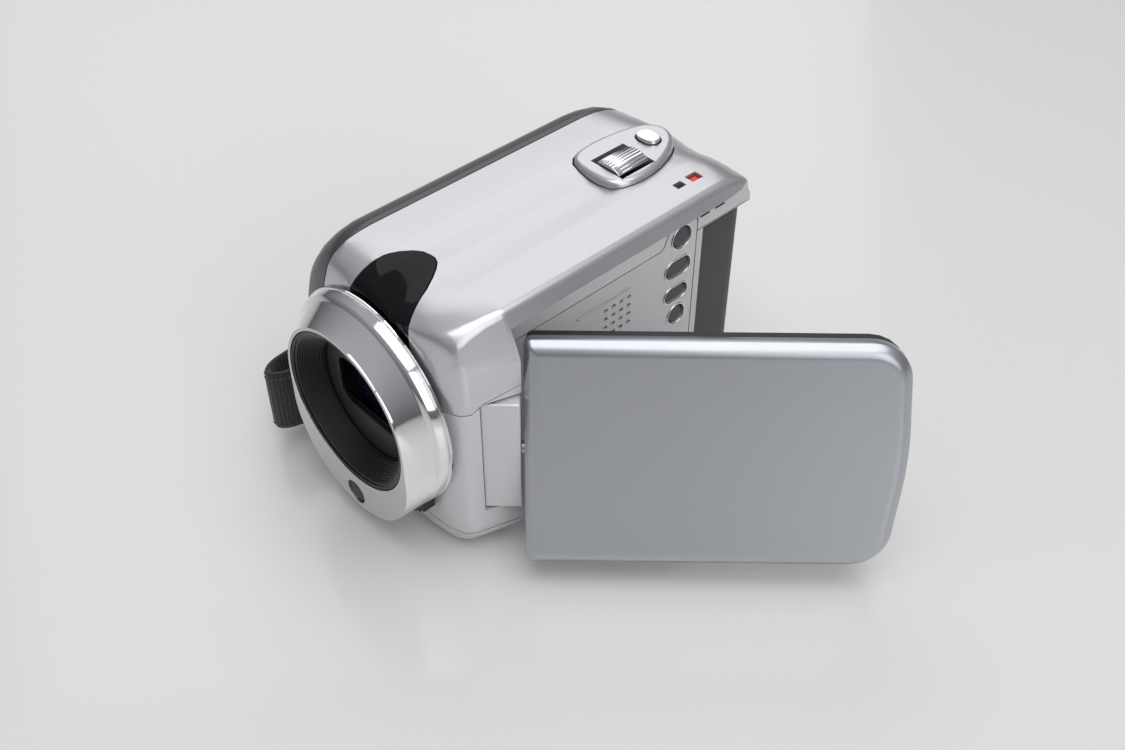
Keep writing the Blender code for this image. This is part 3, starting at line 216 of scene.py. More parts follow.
# %% Chrome that turns satin downwards
def fading_chrome(low, high):
    """Chrome that is satin below the height low and polished above the height high."""
    material = finish("ring_chrome", (0.82, 0.82, 0.83), 0.09, 1.0)
    nodes, links = material.node_tree.nodes, material.node_tree.links
    split = nodes.new("ShaderNodeSeparateXYZ")
    place = next(node for node in nodes if node.bl_idname == "ShaderNodeTexCoord")
    links.new(place.outputs["Object"], split.inputs["Vector"])
    span = nodes.new("ShaderNodeMapRange")
    span.interpolation_type = "SMOOTHSTEP"
    span.inputs["From Min"].default_value = low
    span.inputs["From Max"].default_value = high
    span.inputs["To Min"].default_value = 0.36
    span.inputs["To Max"].default_value = 0.075
    links.new(split.outputs["Z"], span.inputs["Value"])
    links.new(span.outputs["Result"], nodes["Principled BSDF"].inputs["Roughness"])
    return material


ring_low, ring_high = corners("lens_ring")
SATIN_BELOW, POLISHED_ABOVE = ring_low.z + 4 * MM, ring_low.z + 26 * MM
RING_CHROME = fading_chrome(SATIN_BELOW, POLISHED_ABOVE)
print("ring height mm", round((ring_high.z - ring_low.z) / MM, 1))

# %% [markdown]
# Every finished piece is told two things: which solid it stands for, if any, and which body it rides on.
# A bead or a rib stands for no solid and is only carried. Doing this in one helper means that no
# piece is left behind when a joint moves.

# %% Put a piece in the scene and tie it to its body
DRESSED = set()


def keep(piece, node, stands_for=True):
    """Link a piece, let it stand for a solid if it does, and tie it to that solid's body."""
    if piece.name not in bpy.context.scene.collection.objects:
        bpy.context.scene.collection.objects.link(piece)
    if stands_for:
        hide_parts(node)
        DRESSED.add(node)
    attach(piece, BODY_OF[node])
    return piece


def soft_edges(piece, width, angle):
    """A bevel width millimetres wide on every edge sharper than angle degrees."""
    bevel = piece.modifiers.new("soft edges", "BEVEL")
    bevel.width = width * MM
    bevel.segments = 2
    bevel.limit_method = "ANGLE"
    bevel.angle_limit = math.radians(angle)
    bevel.harden_normals = True
    bevel.use_clamp_overlap = True


# %% [markdown]
# Dressing a solid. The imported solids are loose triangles. A copy is merged, its flat faces are
# joined again, its edges get a narrow bevel that catches the light, and it stands for the solid.
# Long thin triangles in a flat face would bend the smooth shading, so the normals are weighted by
# face area: the large faces then stay flat and only the bevels turn.

# %% Dress one solid
MERGE_GAP = 0.004 * MM
FLAT_ANGLE = math.radians(0.6)
CREASE = 32    # degrees, past which two faces meet in an edge


def dress(node, edge=0.0):
    mesh = frame["nodes"][node].data.copy()
    mesh.name = node + "_form"
    bm = bmesh.new()
    bm.from_mesh(mesh)
    bmesh.ops.remove_doubles(bm, verts=bm.verts, dist=MERGE_GAP)
    bmesh.ops.dissolve_limit(bm, angle_limit=FLAT_ANGLE, verts=bm.verts, edges=bm.edges)
    bm.to_mesh(mesh)
    bm.free()
    mesh.materials.clear()
    mesh.materials.append(FINISH[SLOT_OF[node]])
    mesh.shade_smooth()
    mesh.set_sharp_from_angle(angle=math.radians(CREASE))
    piece = bpy.data.objects.new(node + "_dressed", mesh)
    if edge:
        soft_edges(piece, edge, angle=CREASE)
    even = piece.modifiers.new("even shading", "WEIGHTED_NORMAL")
    even.keep_sharp = True
    return keep(piece, node)


# %% [markdown]
# Shapes made here. A skin over rings of points gives a loft, which suits the lens ring, the screen
# cover and the strap. It is a closed mesh, and its normals are recalculated, so that they point
# outwards whichever way the rings run. Where a cloth pattern has to follow the piece, each face
# also gets UV places measured in millimetres along and around it.

# %% A skin over rings of points
def mesh_of(bm, name, coat, smooth=35):
    bmesh.ops.recalc_face_normals(bm, faces=bm.faces)
    mesh = bpy.data.meshes.new(name)
    bm.to_mesh(mesh)
    bm.free()
    mesh.materials.append(coat)
    mesh.shade_smooth()
    mesh.set_sharp_from_angle(angle=math.radians(smooth))
    return bpy.data.objects.new(name, mesh)


def skin(name, rings, coat, smooth=35, uv_steps=None):
    """A closed skin over rings of points. uv_steps gives each ring's place along the piece, in mm."""
    bm = bmesh.new()
    rows = [[bm.verts.new(point) for point in ring] for ring in rings]
    count = len(rows[0])
    layer = bm.loops.layers.uv.new("cloth") if uv_steps else None
    waist = [Vector(point) for point in rings[len(rings) // 2]]
    girth = [0.0]
    for point, after in zip(waist, waist[1:] + waist[:1]):
        girth.append(girth[-1] + (after - point).length / MM)
    for r, (row, after) in enumerate(zip(rows, rows[1:])):
        for k in range(count):
            face = bm.faces.new((row[k], row[(k + 1) % count], after[(k + 1) % count], after[k]))
            if layer:
                corners = [(r, k), (r, k + 1), (r + 1, k + 1), (r + 1, k)]
                for loop, (along, around) in zip(face.loops, corners):
                    loop[layer].uv = (uv_steps[along], girth[around])
    bm.faces.new(rows[0])
    bm.faces.new(rows[-1])
    return mesh_of(bm, name, coat, smooth)


# %% [markdown]
# A round piece, such as the funnel or a lens, is a profile turned about the lens axis. A Screw
# modifier could do it too, but it would turn about the object's own axis, and every piece here
# keeps its object at the origin.

# %% Turned pieces
def revolve(name, profile, front_y, centre_z, coat, steps=112, smooth=35):
    """Turn a closed profile of (radius, depth) in millimetres about the lens axis."""
    bm = bmesh.new()
    rings = []
    for turn in turns(steps):
        rings.append([bm.verts.new((radius * MM * math.cos(turn), front_y + depth * MM,
                                    centre_z + radius * MM * math.sin(turn))) for radius, depth in profile])
    for ring, after in zip(rings, rings[1:] + rings[:1]):
        for k in range(len(profile)):
            j = (k + 1) % len(profile)
            bm.faces.new((ring[k], ring[j], after[j], after[k]))
    bmesh.ops.remove_doubles(bm, verts=bm.verts, dist=0.001 * MM)
    return mesh_of(bm, name, coat, smooth)


# %% [markdown]
# A bead, a rib or a thread is a line with a round section. A curve with a bevel depth draws it from
# its points alone, and is then turned into a mesh, because only meshes are kept.

# %% Beads along a line
def tube(name, points, radius, coat, closed=True, sides=3):
    """A round bead of this radius in millimetres along points, as a curve turned into a mesh."""
    curve = bpy.data.curves.new(name, "CURVE")
    curve.dimensions = "3D"
    curve.bevel_depth = radius * MM
    curve.bevel_resolution = sides
    curve.use_fill_caps = not closed
    spline = curve.splines.new("POLY")
    spline.points.add(len(points) - 1)
    for target, point in zip(spline.points, points):
        target.co = (*point, 1)
    spline.use_cyclic_u = closed
    guide = bpy.data.objects.new(name + "_guide", curve)
    bpy.context.scene.collection.objects.link(guide)
    bpy.context.view_layer.update()
    mesh = bpy.data.meshes.new_from_object(guide.evaluated_get(bpy.context.evaluated_depsgraph_get()))
    bpy.data.objects.remove(guide)
    mesh.materials.clear()
    mesh.materials.append(coat)
    mesh.shade_smooth()
    mesh.name = name
    return bpy.data.objects.new(name, mesh)


# %% [markdown]
# What repeats is made by Geometry Nodes: the grip ribs on the zoom lever, the rims of the speaker
# holes and the stitches on the strap. A tree has named inputs, so one look at the call shows every
# size. It ends in Realize Instances and Set Material, and its result is turned into a plain mesh.
# Nothing in these trees is random, so there is no seed to fix.

# %% Helpers for node trees
def new_tree(name, inputs):
    """An empty tree with a geometry input and output and the named inputs between them."""
    tree = bpy.data.node_groups.new(name, "GeometryNodeTree")
    tree.interface.new_socket("Geometry", in_out="INPUT", socket_type="NodeSocketGeometry")
    for label, kind in inputs:
        tree.interface.new_socket(label, in_out="INPUT", socket_type="NodeSocket" + kind)
    tree.interface.new_socket("Geometry", in_out="OUTPUT", socket_type="NodeSocketGeometry")
    return tree, tree.nodes.new("NodeGroupInput"), tree.nodes.new("NodeGroupOutput")


def end_tree(tree, source, instances, ending):
    """Realize the instances, shade them smooth and give them the finish."""
    realize = tree.nodes.new("GeometryNodeRealizeInstances")
    smooth = tree.nodes.new("GeometryNodeSetShadeSmooth")
    coat = tree.nodes.new("GeometryNodeSetMaterial")
    tree.links.new(instances, realize.inputs["Geometry"])
    tree.links.new(realize.outputs["Geometry"], smooth.inputs["Geometry"])
    tree.links.new(smooth.outputs["Geometry"], coat.inputs["Geometry"])
    tree.links.new(source.outputs["Finish"], coat.inputs["Material"])
    tree.links.new(coat.outputs["Geometry"], ending.inputs["Geometry"])


def grow(name, tree, values, mesh=None):
    """Run a tree on a mesh with the named values and return its result as a plain object."""
    seed = bpy.data.objects.new(name + "_seed", mesh or bpy.data.meshes.new(name + "_seed"))
    bpy.context.scene.collection.objects.link(seed)
    modifier = seed.modifiers.new("grow", "NODES")
    modifier.node_group = tree
    for item in tree.interface.items_tree:
        if item.item_type == "SOCKET" and item.in_out == "INPUT" and item.name in values:
            modifier[item.identifier] = values[item.name]
    bpy.context.view_layer.update()
    made = bpy.data.meshes.new_from_object(seed.evaluated_get(bpy.context.evaluated_depsgraph_get()))
    bpy.data.objects.remove(seed)
    made.name = name
    print(name, "faces", len(made.polygons))
    return bpy.data.objects.new(name, made)


# %% [markdown]
# The zoom lever is the top of a small drum, and its grip ribs run across it. They are the same rod
# set out on one point many times, each turned a little further about the drum's axis.

# %% Ribs fanned about an axis along Y
def fan_tree():
    tree, source, ending = new_tree("fan of ribs", [
        ("Centre", "Vector"), ("Radius", "Float"), ("First Turn", "Float"), ("Turn", "Float"),
        ("Count", "Int"), ("Rib Radius", "Float"), ("Rib Length", "Float"), ("Finish", "Material")])
    nodes, links = tree.nodes, tree.links
    line = nodes.new("GeometryNodeMeshLine")
    links.new(source.outputs["Count"], line.inputs["Count"])
    links.new(source.outputs["Centre"], line.inputs["Start Location"])
    line.inputs["Offset"].default_value = (0, 0, 0)
    index = nodes.new("GeometryNodeInputIndex")
    turn = nodes.new("ShaderNodeMath")
    turn.operation = "MULTIPLY_ADD"
    links.new(index.outputs["Index"], turn.inputs[0])
    links.new(source.outputs["Turn"], turn.inputs[1])
    links.new(source.outputs["First Turn"], turn.inputs[2])
    spin = nodes.new("ShaderNodeCombineXYZ")
    links.new(turn.outputs["Value"], spin.inputs["Y"])
    rib = nodes.new("GeometryNodeMeshCylinder")
    rib.inputs["Vertices"].default_value = 10
    links.new(source.outputs["Rib Radius"], rib.inputs["Radius"])
    links.new(source.outputs["Rib Length"], rib.inputs["Depth"])
    lay = nodes.new("GeometryNodeTransform")
    lay.inputs["Rotation"].default_value = (math.pi / 2, 0, 0)
    out = nodes.new("ShaderNodeCombineXYZ")
    links.new(source.outputs["Radius"], out.inputs["Z"])
    links.new(rib.outputs["Mesh"], lay.inputs["Geometry"])
    links.new(out.outputs["Vector"], lay.inputs["Translation"])
    spread = nodes.new("GeometryNodeInstanceOnPoints")
    links.new(line.outputs["Mesh"], spread.inputs["Points"])
    links.new(lay.outputs["Geometry"], spread.inputs["Instance"])
    links.new(spin.outputs["Vector"], spread.inputs["Rotation"])
    end_tree(tree, source, spread.outputs["Instances"], ending)
    return tree


# %% [markdown]
# The speaker speaks through a square of small holes. Each hole has a pressed rim, a ring of round
# section, and a grid of points places them all at once.

# %% Rims on a grid in the YZ plane
def rim_tree():
    tree, source, ending = new_tree("rims on a grid", [
        ("Columns", "Int"), ("Rows", "Int"), ("Width", "Float"), ("Height", "Float"), ("Centre", "Vector"),
        ("Rim", "Float"), ("Bead", "Float"), ("Finish", "Material")])
    nodes, links = tree.nodes, tree.links
    grid = nodes.new("GeometryNodeMeshGrid")
    links.new(source.outputs["Columns"], grid.inputs["Vertices X"])
    links.new(source.outputs["Rows"], grid.inputs["Vertices Y"])
    links.new(source.outputs["Width"], grid.inputs["Size X"])
    links.new(source.outputs["Height"], grid.inputs["Size Y"])
    circle = nodes.new("GeometryNodeCurvePrimitiveCircle")
    circle.inputs["Resolution"].default_value = 20
    links.new(source.outputs["Rim"], circle.inputs["Radius"])
    bead = nodes.new("GeometryNodeCurvePrimitiveCircle")
    bead.inputs["Resolution"].default_value = 8
    links.new(source.outputs["Bead"], bead.inputs["Radius"])
    ring = nodes.new("GeometryNodeCurveToMesh")
    links.new(circle.outputs["Curve"], ring.inputs["Curve"])
    links.new(bead.outputs["Curve"], ring.inputs["Profile Curve"])
    spread = nodes.new("GeometryNodeInstanceOnPoints")
    links.new(grid.outputs["Mesh"], spread.inputs["Points"])
    links.new(ring.outputs["Mesh"], spread.inputs["Instance"])
    stand = nodes.new("GeometryNodeTransform")
    stand.inputs["Rotation"].default_value = (math.pi / 2, 0, math.pi / 2)
    links.new(spread.outputs["Instances"], stand.inputs["Geometry"])
    links.new(source.outputs["Centre"], stand.inputs["Translation"])
    end_tree(tree, source, stand.outputs["Geometry"], ending)
    return tree


# %% [markdown]
# A stitch shows as a short raised bead of thread. The tree walks along a path, drops a point at every
# pitch, and stretches a small ball along the path at each. A ball of 8 by 6 faces is enough, since
# a stitch is under two millimetres long and there are many.

# %% Stitches along a path
def stitch_tree():
    tree, source, ending = new_tree("stitches", [
        ("Pitch", "Float"), ("Stitch", "Float"), ("Thread", "Float"), ("Finish", "Material")])
    nodes, links = tree.nodes, tree.links
    curve = nodes.new("GeometryNodeMeshToCurve")
    points = nodes.new("GeometryNodeCurveToPoints")
    points.mode = "LENGTH"
    links.new(source.outputs["Geometry"], curve.inputs["Mesh"])
    links.new(curve.outputs["Curve"], points.inputs["Curve"])
    links.new(source.outputs["Pitch"], points.inputs["Length"])
    bead = nodes.new("GeometryNodeMeshUVSphere")
    bead.inputs["Segments"].default_value = 8
    bead.inputs["Rings"].default_value = 6
    bead.inputs["Radius"].default_value = 1.0
    size = nodes.new("ShaderNodeCombineXYZ")
    links.new(source.outputs["Thread"], size.inputs["X"])
    links.new(source.outputs["Thread"], size.inputs["Y"])
    links.new(source.outputs["Stitch"], size.inputs["Z"])
    spread = nodes.new("GeometryNodeInstanceOnPoints")
    links.new(points.outputs["Points"], spread.inputs["Points"])
    links.new(points.outputs["Rotation"], spread.inputs["Rotation"])
    links.new(bead.outputs["Mesh"], spread.inputs["Instance"])
    links.new(size.outputs["Vector"], spread.inputs["Scale"])
    end_tree(tree, source, spread.outputs["Instances"], ending)
    return tree


FAN, RIMS, STITCHES = fan_tree(), rim_tree(), stitch_tree()
print("trees", FAN.name, RIMS.name, STITCHES.name)

# %% [markdown]
# The lens ring is one chromed casting. Its front face is a circle with a lower lobe, the chin, and
# its back is the circle where it meets the body. A loft that slides from one outline to the other
# gives the cone, the crease, the groove and the rim. The solid has few sides, so the ring is made
# again here with many, from the same outlines.

# %% The lens ring
RING_RADIUS = (ring_high.x - ring_low.x) / 2
LIP_Y = ring_low.y
LENS_Z = middle_of("barrier_plate").z
CHIN_DROP = 8.2 * MM
LIP_RADIUS = LENS_Z - CHIN_DROP - ring_low.z
BACK_Z = ring_high.z - RING_RADIUS


def ring_outline(share, half=90):
    """The ring's outline as (x, z): 0 is the front face with its chin, 1 the circle at the body."""
    points = []
    for k in range(2 * half):
        lower = k >= half
        turn = math.pi * (k - half if lower else k) / (half - 1) + (math.pi if lower else 0)
        lobe_z = LENS_Z - (CHIN_DROP if lower else 0)
        front = (LIP_RADIUS * math.cos(turn), lobe_z + LIP_RADIUS * math.sin(turn))
        turn = math.pi * (k + 0.5) / half
        back = (RING_RADIUS * math.cos(turn), BACK_Z + RING_RADIUS * math.sin(turn))
        points.append([a + share * (b - a) for a, b in zip(front, back)])
    return points


# depth behind the lip in mm, and share of the way to the back circle: lip, cone, crease, step,
# groove and rim, one line each
RING_STEPS = [
    (0.0, 0.0), (0.12, 0.008), (0.5, 0.04),
    (2.8, 0.34), (5.1, 0.645),
    (5.2, 0.66), (5.3, 0.69), (5.8, 0.82), (6.0, 0.845),
    (7.3, 0.925), (7.4, 0.93),
    (7.55, 0.89), (7.75, 0.89),
    (7.9, 0.985), (8.0, 1.0), (8.4, 1.0)]
RING_CREASE = 24    # degrees: the ring's creases are shallower than those of the covers
ring_rings = [[(x, LIP_Y + depth * MM, z) for x, z in ring_outline(share)] for depth, share in RING_STEPS]
ring = skin("lens_ring_dressed", ring_rings, RING_CHROME, smooth=RING_CREASE)
ring.data.materials.append(SATIN)
for face in ring.data.polygons:
    front_face = face.normal.y < -0.9 and len(face.vertices) > 4
    if front_face:
        face.material_index = 1
print("ring faces before drilling", len(ring.data.polygons))

# %% [markdown]
# The ring has two holes: the large bore that takes the funnel and the small one in the chin for the
# remote sensor. Both are cut with a Boolean, since they cross the curved front at an edge that a loft
# can't follow. The result is read back as a plain mesh, and the drills are taken away.

# %% Bore and chin hole
CHIN_HOLE = 2.9 * MM
BORE_GAP = 0.3 * MM     # between the funnel and the bore


def drill(piece, name, radius, centre, sides):
    """Cut a round hole along Y through the piece, about a centre."""
    bpy.ops.mesh.primitive_cylinder_add(vertices=sides, radius=radius, depth=40 * MM, location=centre,
                                        rotation=(math.pi / 2, 0, 0))
    bit = bpy.context.object
    bit.name = name
    bit.data.materials.append(RING_CHROME)
    step = piece.modifiers.new(name, "BOOLEAN")
    step.operation = "DIFFERENCE"
    step.object = bit
    return bit


bpy.context.scene.collection.objects.link(ring)
CHIN_Z = middle_of("ir_window").z
bits = [drill(ring, "bore", corners("lens_hood")[1].x + BORE_GAP, (0, LIP_Y, LENS_Z), 128),
        drill(ring, "chin_hole", CHIN_HOLE, (0, LIP_Y - 16 * MM, CHIN_Z), 40)]
bpy.context.view_layer.update()
cut_mesh = bpy.data.meshes.new_from_object(ring.evaluated_get(bpy.context.evaluated_depsgraph_get()))
for bit in bits:
    bpy.data.objects.remove(bit)
ring.modifiers.clear()
ring.data = cut_mesh
cut_mesh.set_sharp_from_angle(angle=math.radians(RING_CREASE))
soft_edges(ring, 0.12, angle=40)
keep(ring, "lens_ring")
print("ring faces", len(cut_mesh.polygons))

# %% [markdown]
# Inside the ring sits the hood, a black funnel with fine steps that swallow stray light, and behind
# it the plate with its window, the shutter blades and the first lens. The funnel is a turned
# profile, because its steps are all round the same axis. A glossy lip finishes its outer edge.

# %% The funnel
hood_high = corners("lens_hood")[1]
outer = hood_high.x / MM
depth = (hood_high.y - LIP_Y) / MM
FUNNEL_TAPER = 4.1      # mm from the ring's bore in to the throat
throat = outer + BORE_GAP / MM - FUNNEL_TAPER
profile = [(outer, 0.5), (outer, depth), (throat, depth)]
FUNNEL_STEPS = 11
for k in range(FUNNEL_STEPS):
    share = k / FUNNEL_STEPS
    radius = throat + (outer - 0.9 - throat) * share
    back = depth - 0.8 - (depth - 1.3) * share
    profile += [(radius, back), (radius + 0.04, back - 0.3), (radius + 0.26, back - 0.34)]
profile.append((outer - 0.5, 0.5))
keep(revolve("lens_hood_dressed", profile, LIP_Y, LENS_Z, FINISH["matte_black"], smooth=20), "lens_hood")
lip = [(outer - 0.62, 0.32), (outer - 0.3, 0.16), (outer + 0.1, 0.2), (outer + 0.1, 0.5), (outer - 0.6, 0.5)]
funnel_lip = revolve("funnel_lip", lip, LIP_Y, LENS_Z, FINISH["gloss_black"], 112)
print("funnel steps", FUNNEL_STEPS, "throat mm", round(throat, 2))

# %% [markdown]
# The first lens bulges forwards. Its front is a quarter wave of the sine, which is flat at the
# middle and steep at the edge, as coated glass looks when it is seen from the side. A thin dark ring
# holds it at its edge. The glass is opaque and very glossy: at this size the eye sees only the
# reflections on it.

# %% The first lens
DOME_RISE = 2.4         # mm
lens_low, lens_high = corners("front_lens")
radius, front, back = lens_high.x / MM, (lens_low.y - LIP_Y) / MM, (lens_high.y - LIP_Y) / MM
dome = [(radius * math.sin(turn), front + DOME_RISE * (1 - math.cos(turn)))
        for turn in [math.radians(degrees) for degrees in range(2, 91, 4)]]
dome += [(radius, back), (0.02, back), (0.02, front)]
keep(revolve("front_lens_dressed", dome, LIP_Y, LENS_Z, FINISH["lens_glass"], 96), "front_lens")
cell = [(radius * 0.93, front + 0.55), (radius * 0.97, front + 0.2),
        (radius, front + 0.2), (radius, front + 1.6)]
cell_ring = revolve("lens_cell_ring", cell, LIP_Y, LENS_Z, FINISH["dark_button"], 96)
keep(cell_ring, "front_lens", False)
keep(funnel_lip, "lens_hood", False)
print("lens mm across", round(2 * radius, 1))

# %% [markdown]
# The screen stands half open and leans back a little. Its pieces are easiest to draw shut, where
# every edge is upright, so one matrix holds the turn about the hinge from shut to open.

# %% Turn from the shut place to the open one
SWING_REST, TILT_REST = math.radians(-44.3), math.radians(-15.5)
HINGE = PIVOT["lcd_swing"]
OPENED = (Matrix.Translation(HINGE) @ Matrix.Rotation(SWING_REST, 4, "Z") @ Matrix.Rotation(TILT_REST, 4, "Y")
          @ Matrix.Translation(-HINGE))


def shut_box(node):
    """Lowest and highest corners of a screen node when it is turned back shut."""
    spots = [OPENED.inverted() @ vertex.co for vertex in frame["nodes"][node].data.vertices]
    return (Vector([min(spot[k] for spot in spots) for k in range(3)]),
            Vector([max(spot[k] for spot in spots) for k in range(3)]))


def rounded_corner(u, v, radius, start, stop, steps):
    """Points on an arc about (u, v) from the angle start to stop, in degrees."""
    bends = [math.radians(start + (stop - start) * k / steps) for k in range(steps + 1)]
    return [(u + radius * math.cos(bend), v + radius * math.sin(bend)) for bend in bends]


shell_low, shell_high = shut_box("lcd_cover")
print("screen cover shut, mm", [round(size / MM, 1) for size in shell_high - shell_low])

# %% [markdown]
# The screen's cover is a thin pressed shell. Its free end bows out slightly and has wide round
# corners, the end at the hinge has small ones, and a bevel runs all round the face. The solid shows
# these only coarsely, so the cover is lofted again from the same box with finer arcs.

# %% The outline of the screen cover
SHELL_BOW = 1.2 * MM
FREE_CORNER, HINGE_CORNER, LEAST_CORNER = 8.5, 1.6, 0.5    # mm
BOW_POINTS, BOW_REACH = 11, 11 * MM


def shell_outline(inset):
    """The cover's outline as (y, z), drawn in by inset millimetres."""
    low_z, high_z = shell_low.z + inset * MM, shell_high.z - inset * MM
    start, end = shell_low.y + inset * MM, shell_high.y - inset * MM
    corner = (FREE_CORNER - inset) * MM
    small = max(HINGE_CORNER - inset, LEAST_CORNER) * MM
    middle = (low_z + high_z) / 2
    points = rounded_corner(end - SHELL_BOW - corner, low_z + corner, corner, -90, -8, 14)
    for k in range(BOW_POINTS):
        across = 2 * k / (BOW_POINTS - 1) - 1
        points.append((end - SHELL_BOW * across ** 2 * 0.55, middle + across * BOW_REACH))
    points += rounded_corner(end - SHELL_BOW - corner, high_z - corner, corner, 8, 90, 14)
    points += rounded_corner(start + small, high_z - small, small, 90, 180, 6)
    points += rounded_corner(start + small, low_z + small, small, 180, 270, 6)
    return points


# %% The screen cover
# distance from the shell's open side in mm, and how far the outline is drawn in: edge, side, bevel, face
deep = (shell_high.x - shell_low.x) / MM
SHELL_STEPS = [
    (0.0, 0.3), (0.12, 0.1), (0.3, 0.0),
    (deep - 1.9, 0.0), (deep - 1.75, 0.03), (deep - 1.6, 0.12),
    (deep - 0.75, 1.0), (deep - 0.55, 1.25), (deep - 0.3, 1.65), (deep - 0.12, 2.1), (deep - 0.02, 2.6),
    (deep, 2.9), (deep, 3.3)]
shell_rings = [[OPENED @ Vector((shell_low.x + out * MM, y, z)) for y, z in shell_outline(inset)]
               for out, inset in SHELL_STEPS]
keep(skin("lcd_cover_dressed", shell_rings, FINISH["brushed_cover"], smooth=38), "lcd_cover")
print("cover rings", len(shell_rings), "points each", len(shell_rings[0]))

# %% [markdown]
# Everything else keeps its solid's shape and gets soft edges. The width of the bevel follows what
# the real piece is: wide on a rubber button, narrow where two covers meet.

# %% Dress the other solids
EDGES = {
    "top_cover": 0.28, "right_cover": 0.3, "front_cover": 0.22, "bottom_cover": 0.3, "rear_cover": 0.2,
    "side_plate": 0.12, "lcd_bezel": 0.2, "barrier_plate": 0.2, "barrier_switch": 0.15, "card_door": 0.0,
    "lamp_window": 0.25, "tripod_socket": 0.2, "power_button": 0.35, "backlight_button": 0.35,
    "search_button": 0.35, "menu_button": 0.35, "zoom_lever": 0.2, "charge_lamp": 0.3, "access_lamp": 0.2,
    "lcd_screen": 0.12, "ir_window": 0.3, "strap_lug_front": 0.0, "strap_lug_rear": 0.0,
}
for node in SLOT_OF:
    if node not in DRESSED and node not in ("grip_strap", "grip_pad"):
        dress(node, EDGES.get(node, 0.0))
print("dressed", len(DRESSED))

# %% [markdown]
# The four buttons beside the screen each sit in a bright bead. The bead belongs to the plate and not
# to the button, so it stays where it is when the button is pressed. Its path is the button's box
# with round ends, a margin outside it, so that it fits each button's own shape.

# %% Beads round the buttons
plate_low, plate_high = corners("side_plate")
FACE_X = plate_high.x
BEAD_MARGIN, BEAD_RADIUS = 0.55 * MM, 0.22    # the radius is in mm, as tube takes it


def bead_round(node):
    """A bright bead on the side plate round a button that is pressed along X."""
    low, high = corners(node)
    corner = min(high.y - low.y, high.z - low.z) / 2 + BEAD_MARGIN
    y0, y1, z0, z1 = low.y - BEAD_MARGIN, high.y + BEAD_MARGIN, low.z - BEAD_MARGIN, high.z + BEAD_MARGIN
    outline = []
    for y, z, start in ((y1 - corner, z0 + corner, -90), (y1 - corner, z1 - corner, 0),
                        (y0 + corner, z1 - corner, 90), (y0 + corner, z0 + corner, 180)):
        outline += rounded_corner(y, z, corner, start, start + 90, 7)[:-1]
    bead = tube(node + "_bead", [(FACE_X, y, z) for y, z in outline], BEAD_RADIUS, FINISH["chrome"])
    keep(bead, "side_plate", False)


SIDE_BUTTONS = ("power_button", "backlight_button", "search_button", "menu_button")
for node in SIDE_BUTTONS:
    bead_round(node)
print("beads", len(SIDE_BUTTONS))

# %% [markdown]
# The speaker's holes come from the solid. Each gets a rim, and a near-black disc of painted shade lies
# behind them, so that the holes look deep and not empty. A raised line runs above them on the plate.

# %% Speaker rims, painted shade behind the holes and raised line
SPEAKER = middle_of("speaker")
HOLES, PITCH = 4, 2.3 * MM
SHADE_SHEET_RADIUS, SHADE_SHEET_DEPTH, SHADE_SHEET_THICK = 5 * MM, 1.75 * MM, 0.1 * MM
rims = grow("speaker_rims", RIMS, {
    "Columns": HOLES, "Rows": HOLES, "Width": (HOLES - 1) * PITCH, "Height": (HOLES - 1) * PITCH,
    "Rim": 0.52 * MM, "Bead": 0.1 * MM, "Centre": (FACE_X, SPEAKER.y, SPEAKER.z), "Finish": SATIN})
keep(rims, "side_plate", False)
# painted shade: a near-black disc behind the holes, so that they look deep
cloth = [[(FACE_X - SHADE_SHEET_DEPTH + lift, SPEAKER.y + SHADE_SHEET_RADIUS * math.cos(turn),
           SPEAKER.z + SHADE_SHEET_RADIUS * math.sin(turn)) for turn in turns(32)] for lift in (0, SHADE_SHEET_THICK)]
keep(skin("speaker_hole_shade", cloth, PAINTED_SHADE), "side_plate", False)
line_z = plate_high.z - 9.5 * MM
line = [(FACE_X, y, line_z) for y in (plate_low.y + 19.5 * MM, SPEAKER.y + 3.5 * MM)]
keep(tube("raised_line", line, 0.3, SATIN, closed=False), "side_plate", False)
print("raised line mm", round((line[1][1] - line[0][1]) / MM, 1))

# %% [markdown]
# Above the battery, the edge of the top cover has two half-moon slots, where the shut screen's catch
# hooks in. They are near-black insets of painted shade, a hair proud of the cover, in place of the
# shade inside the cuts, because real cuts this small would not show any more than that.

# %% Catch slots as painted shade
SLOT_RADIUS = 1.5 * MM
for number, along in enumerate((2.4, 7.2), start=1):
    half_moon = rounded_corner(plate_high.y + along * MM, plate_high.z - 1.9 * MM, SLOT_RADIUS, 0, 180, 16)
    layers = [[(FACE_X + lift * MM, y, z) for y, z in half_moon] for lift in (-0.3, 0.05)]
    # painted shade: near-black insets that stand for the dark inside of the half-moon slots
    keep(skin(f"catch_slot_shade_{number}", layers, PAINTED_SHADE), "top_cover", False)
print("catch slots", number)

# %% [markdown]
# The zoom lever's ribs are fanned about its pivot, a rib's width short of either end of its grip.

# %% Ribs on the zoom lever
lever_low, lever_high = corners("zoom_lever")
LEVER = PIVOT["zoom_lever_turn"]
LEVER_RIBS, FAN_HALF = 9, 32    # ribs, and degrees from the top to the last rib
ribs = grow("zoom_lever_ribs", FAN, {
    "Centre": (LEVER.x, (lever_low.y + lever_high.y) / 2, LEVER.z), "Radius": lever_high.z - LEVER.z,
    "First Turn": math.radians(-FAN_HALF), "Turn": math.radians(2 * FAN_HALF / (LEVER_RIBS - 1)),
    "Count": LEVER_RIBS, "Rib Radius": 0.16 * MM, "Rib Length": lever_high.y - lever_low.y - 0.5 * MM,
    "Finish": FINISH["chrome"]})
keep(ribs, "zoom_lever", False)

# %% [markdown]
# The record button at the back has a domed red dot, so that a thumb finds it, and a dark bead round
# its well. The dot is three rings of one skin: a foot sunk in the button, its rim and its top.

# %% Record button
record, record_face = middle_of("record_button"), corners("record_button")[1].y
DOT_STEPS = [(1.5, -0.1), (1.5, 0.06), (1.2, 0.16)]    # radius and lift in mm


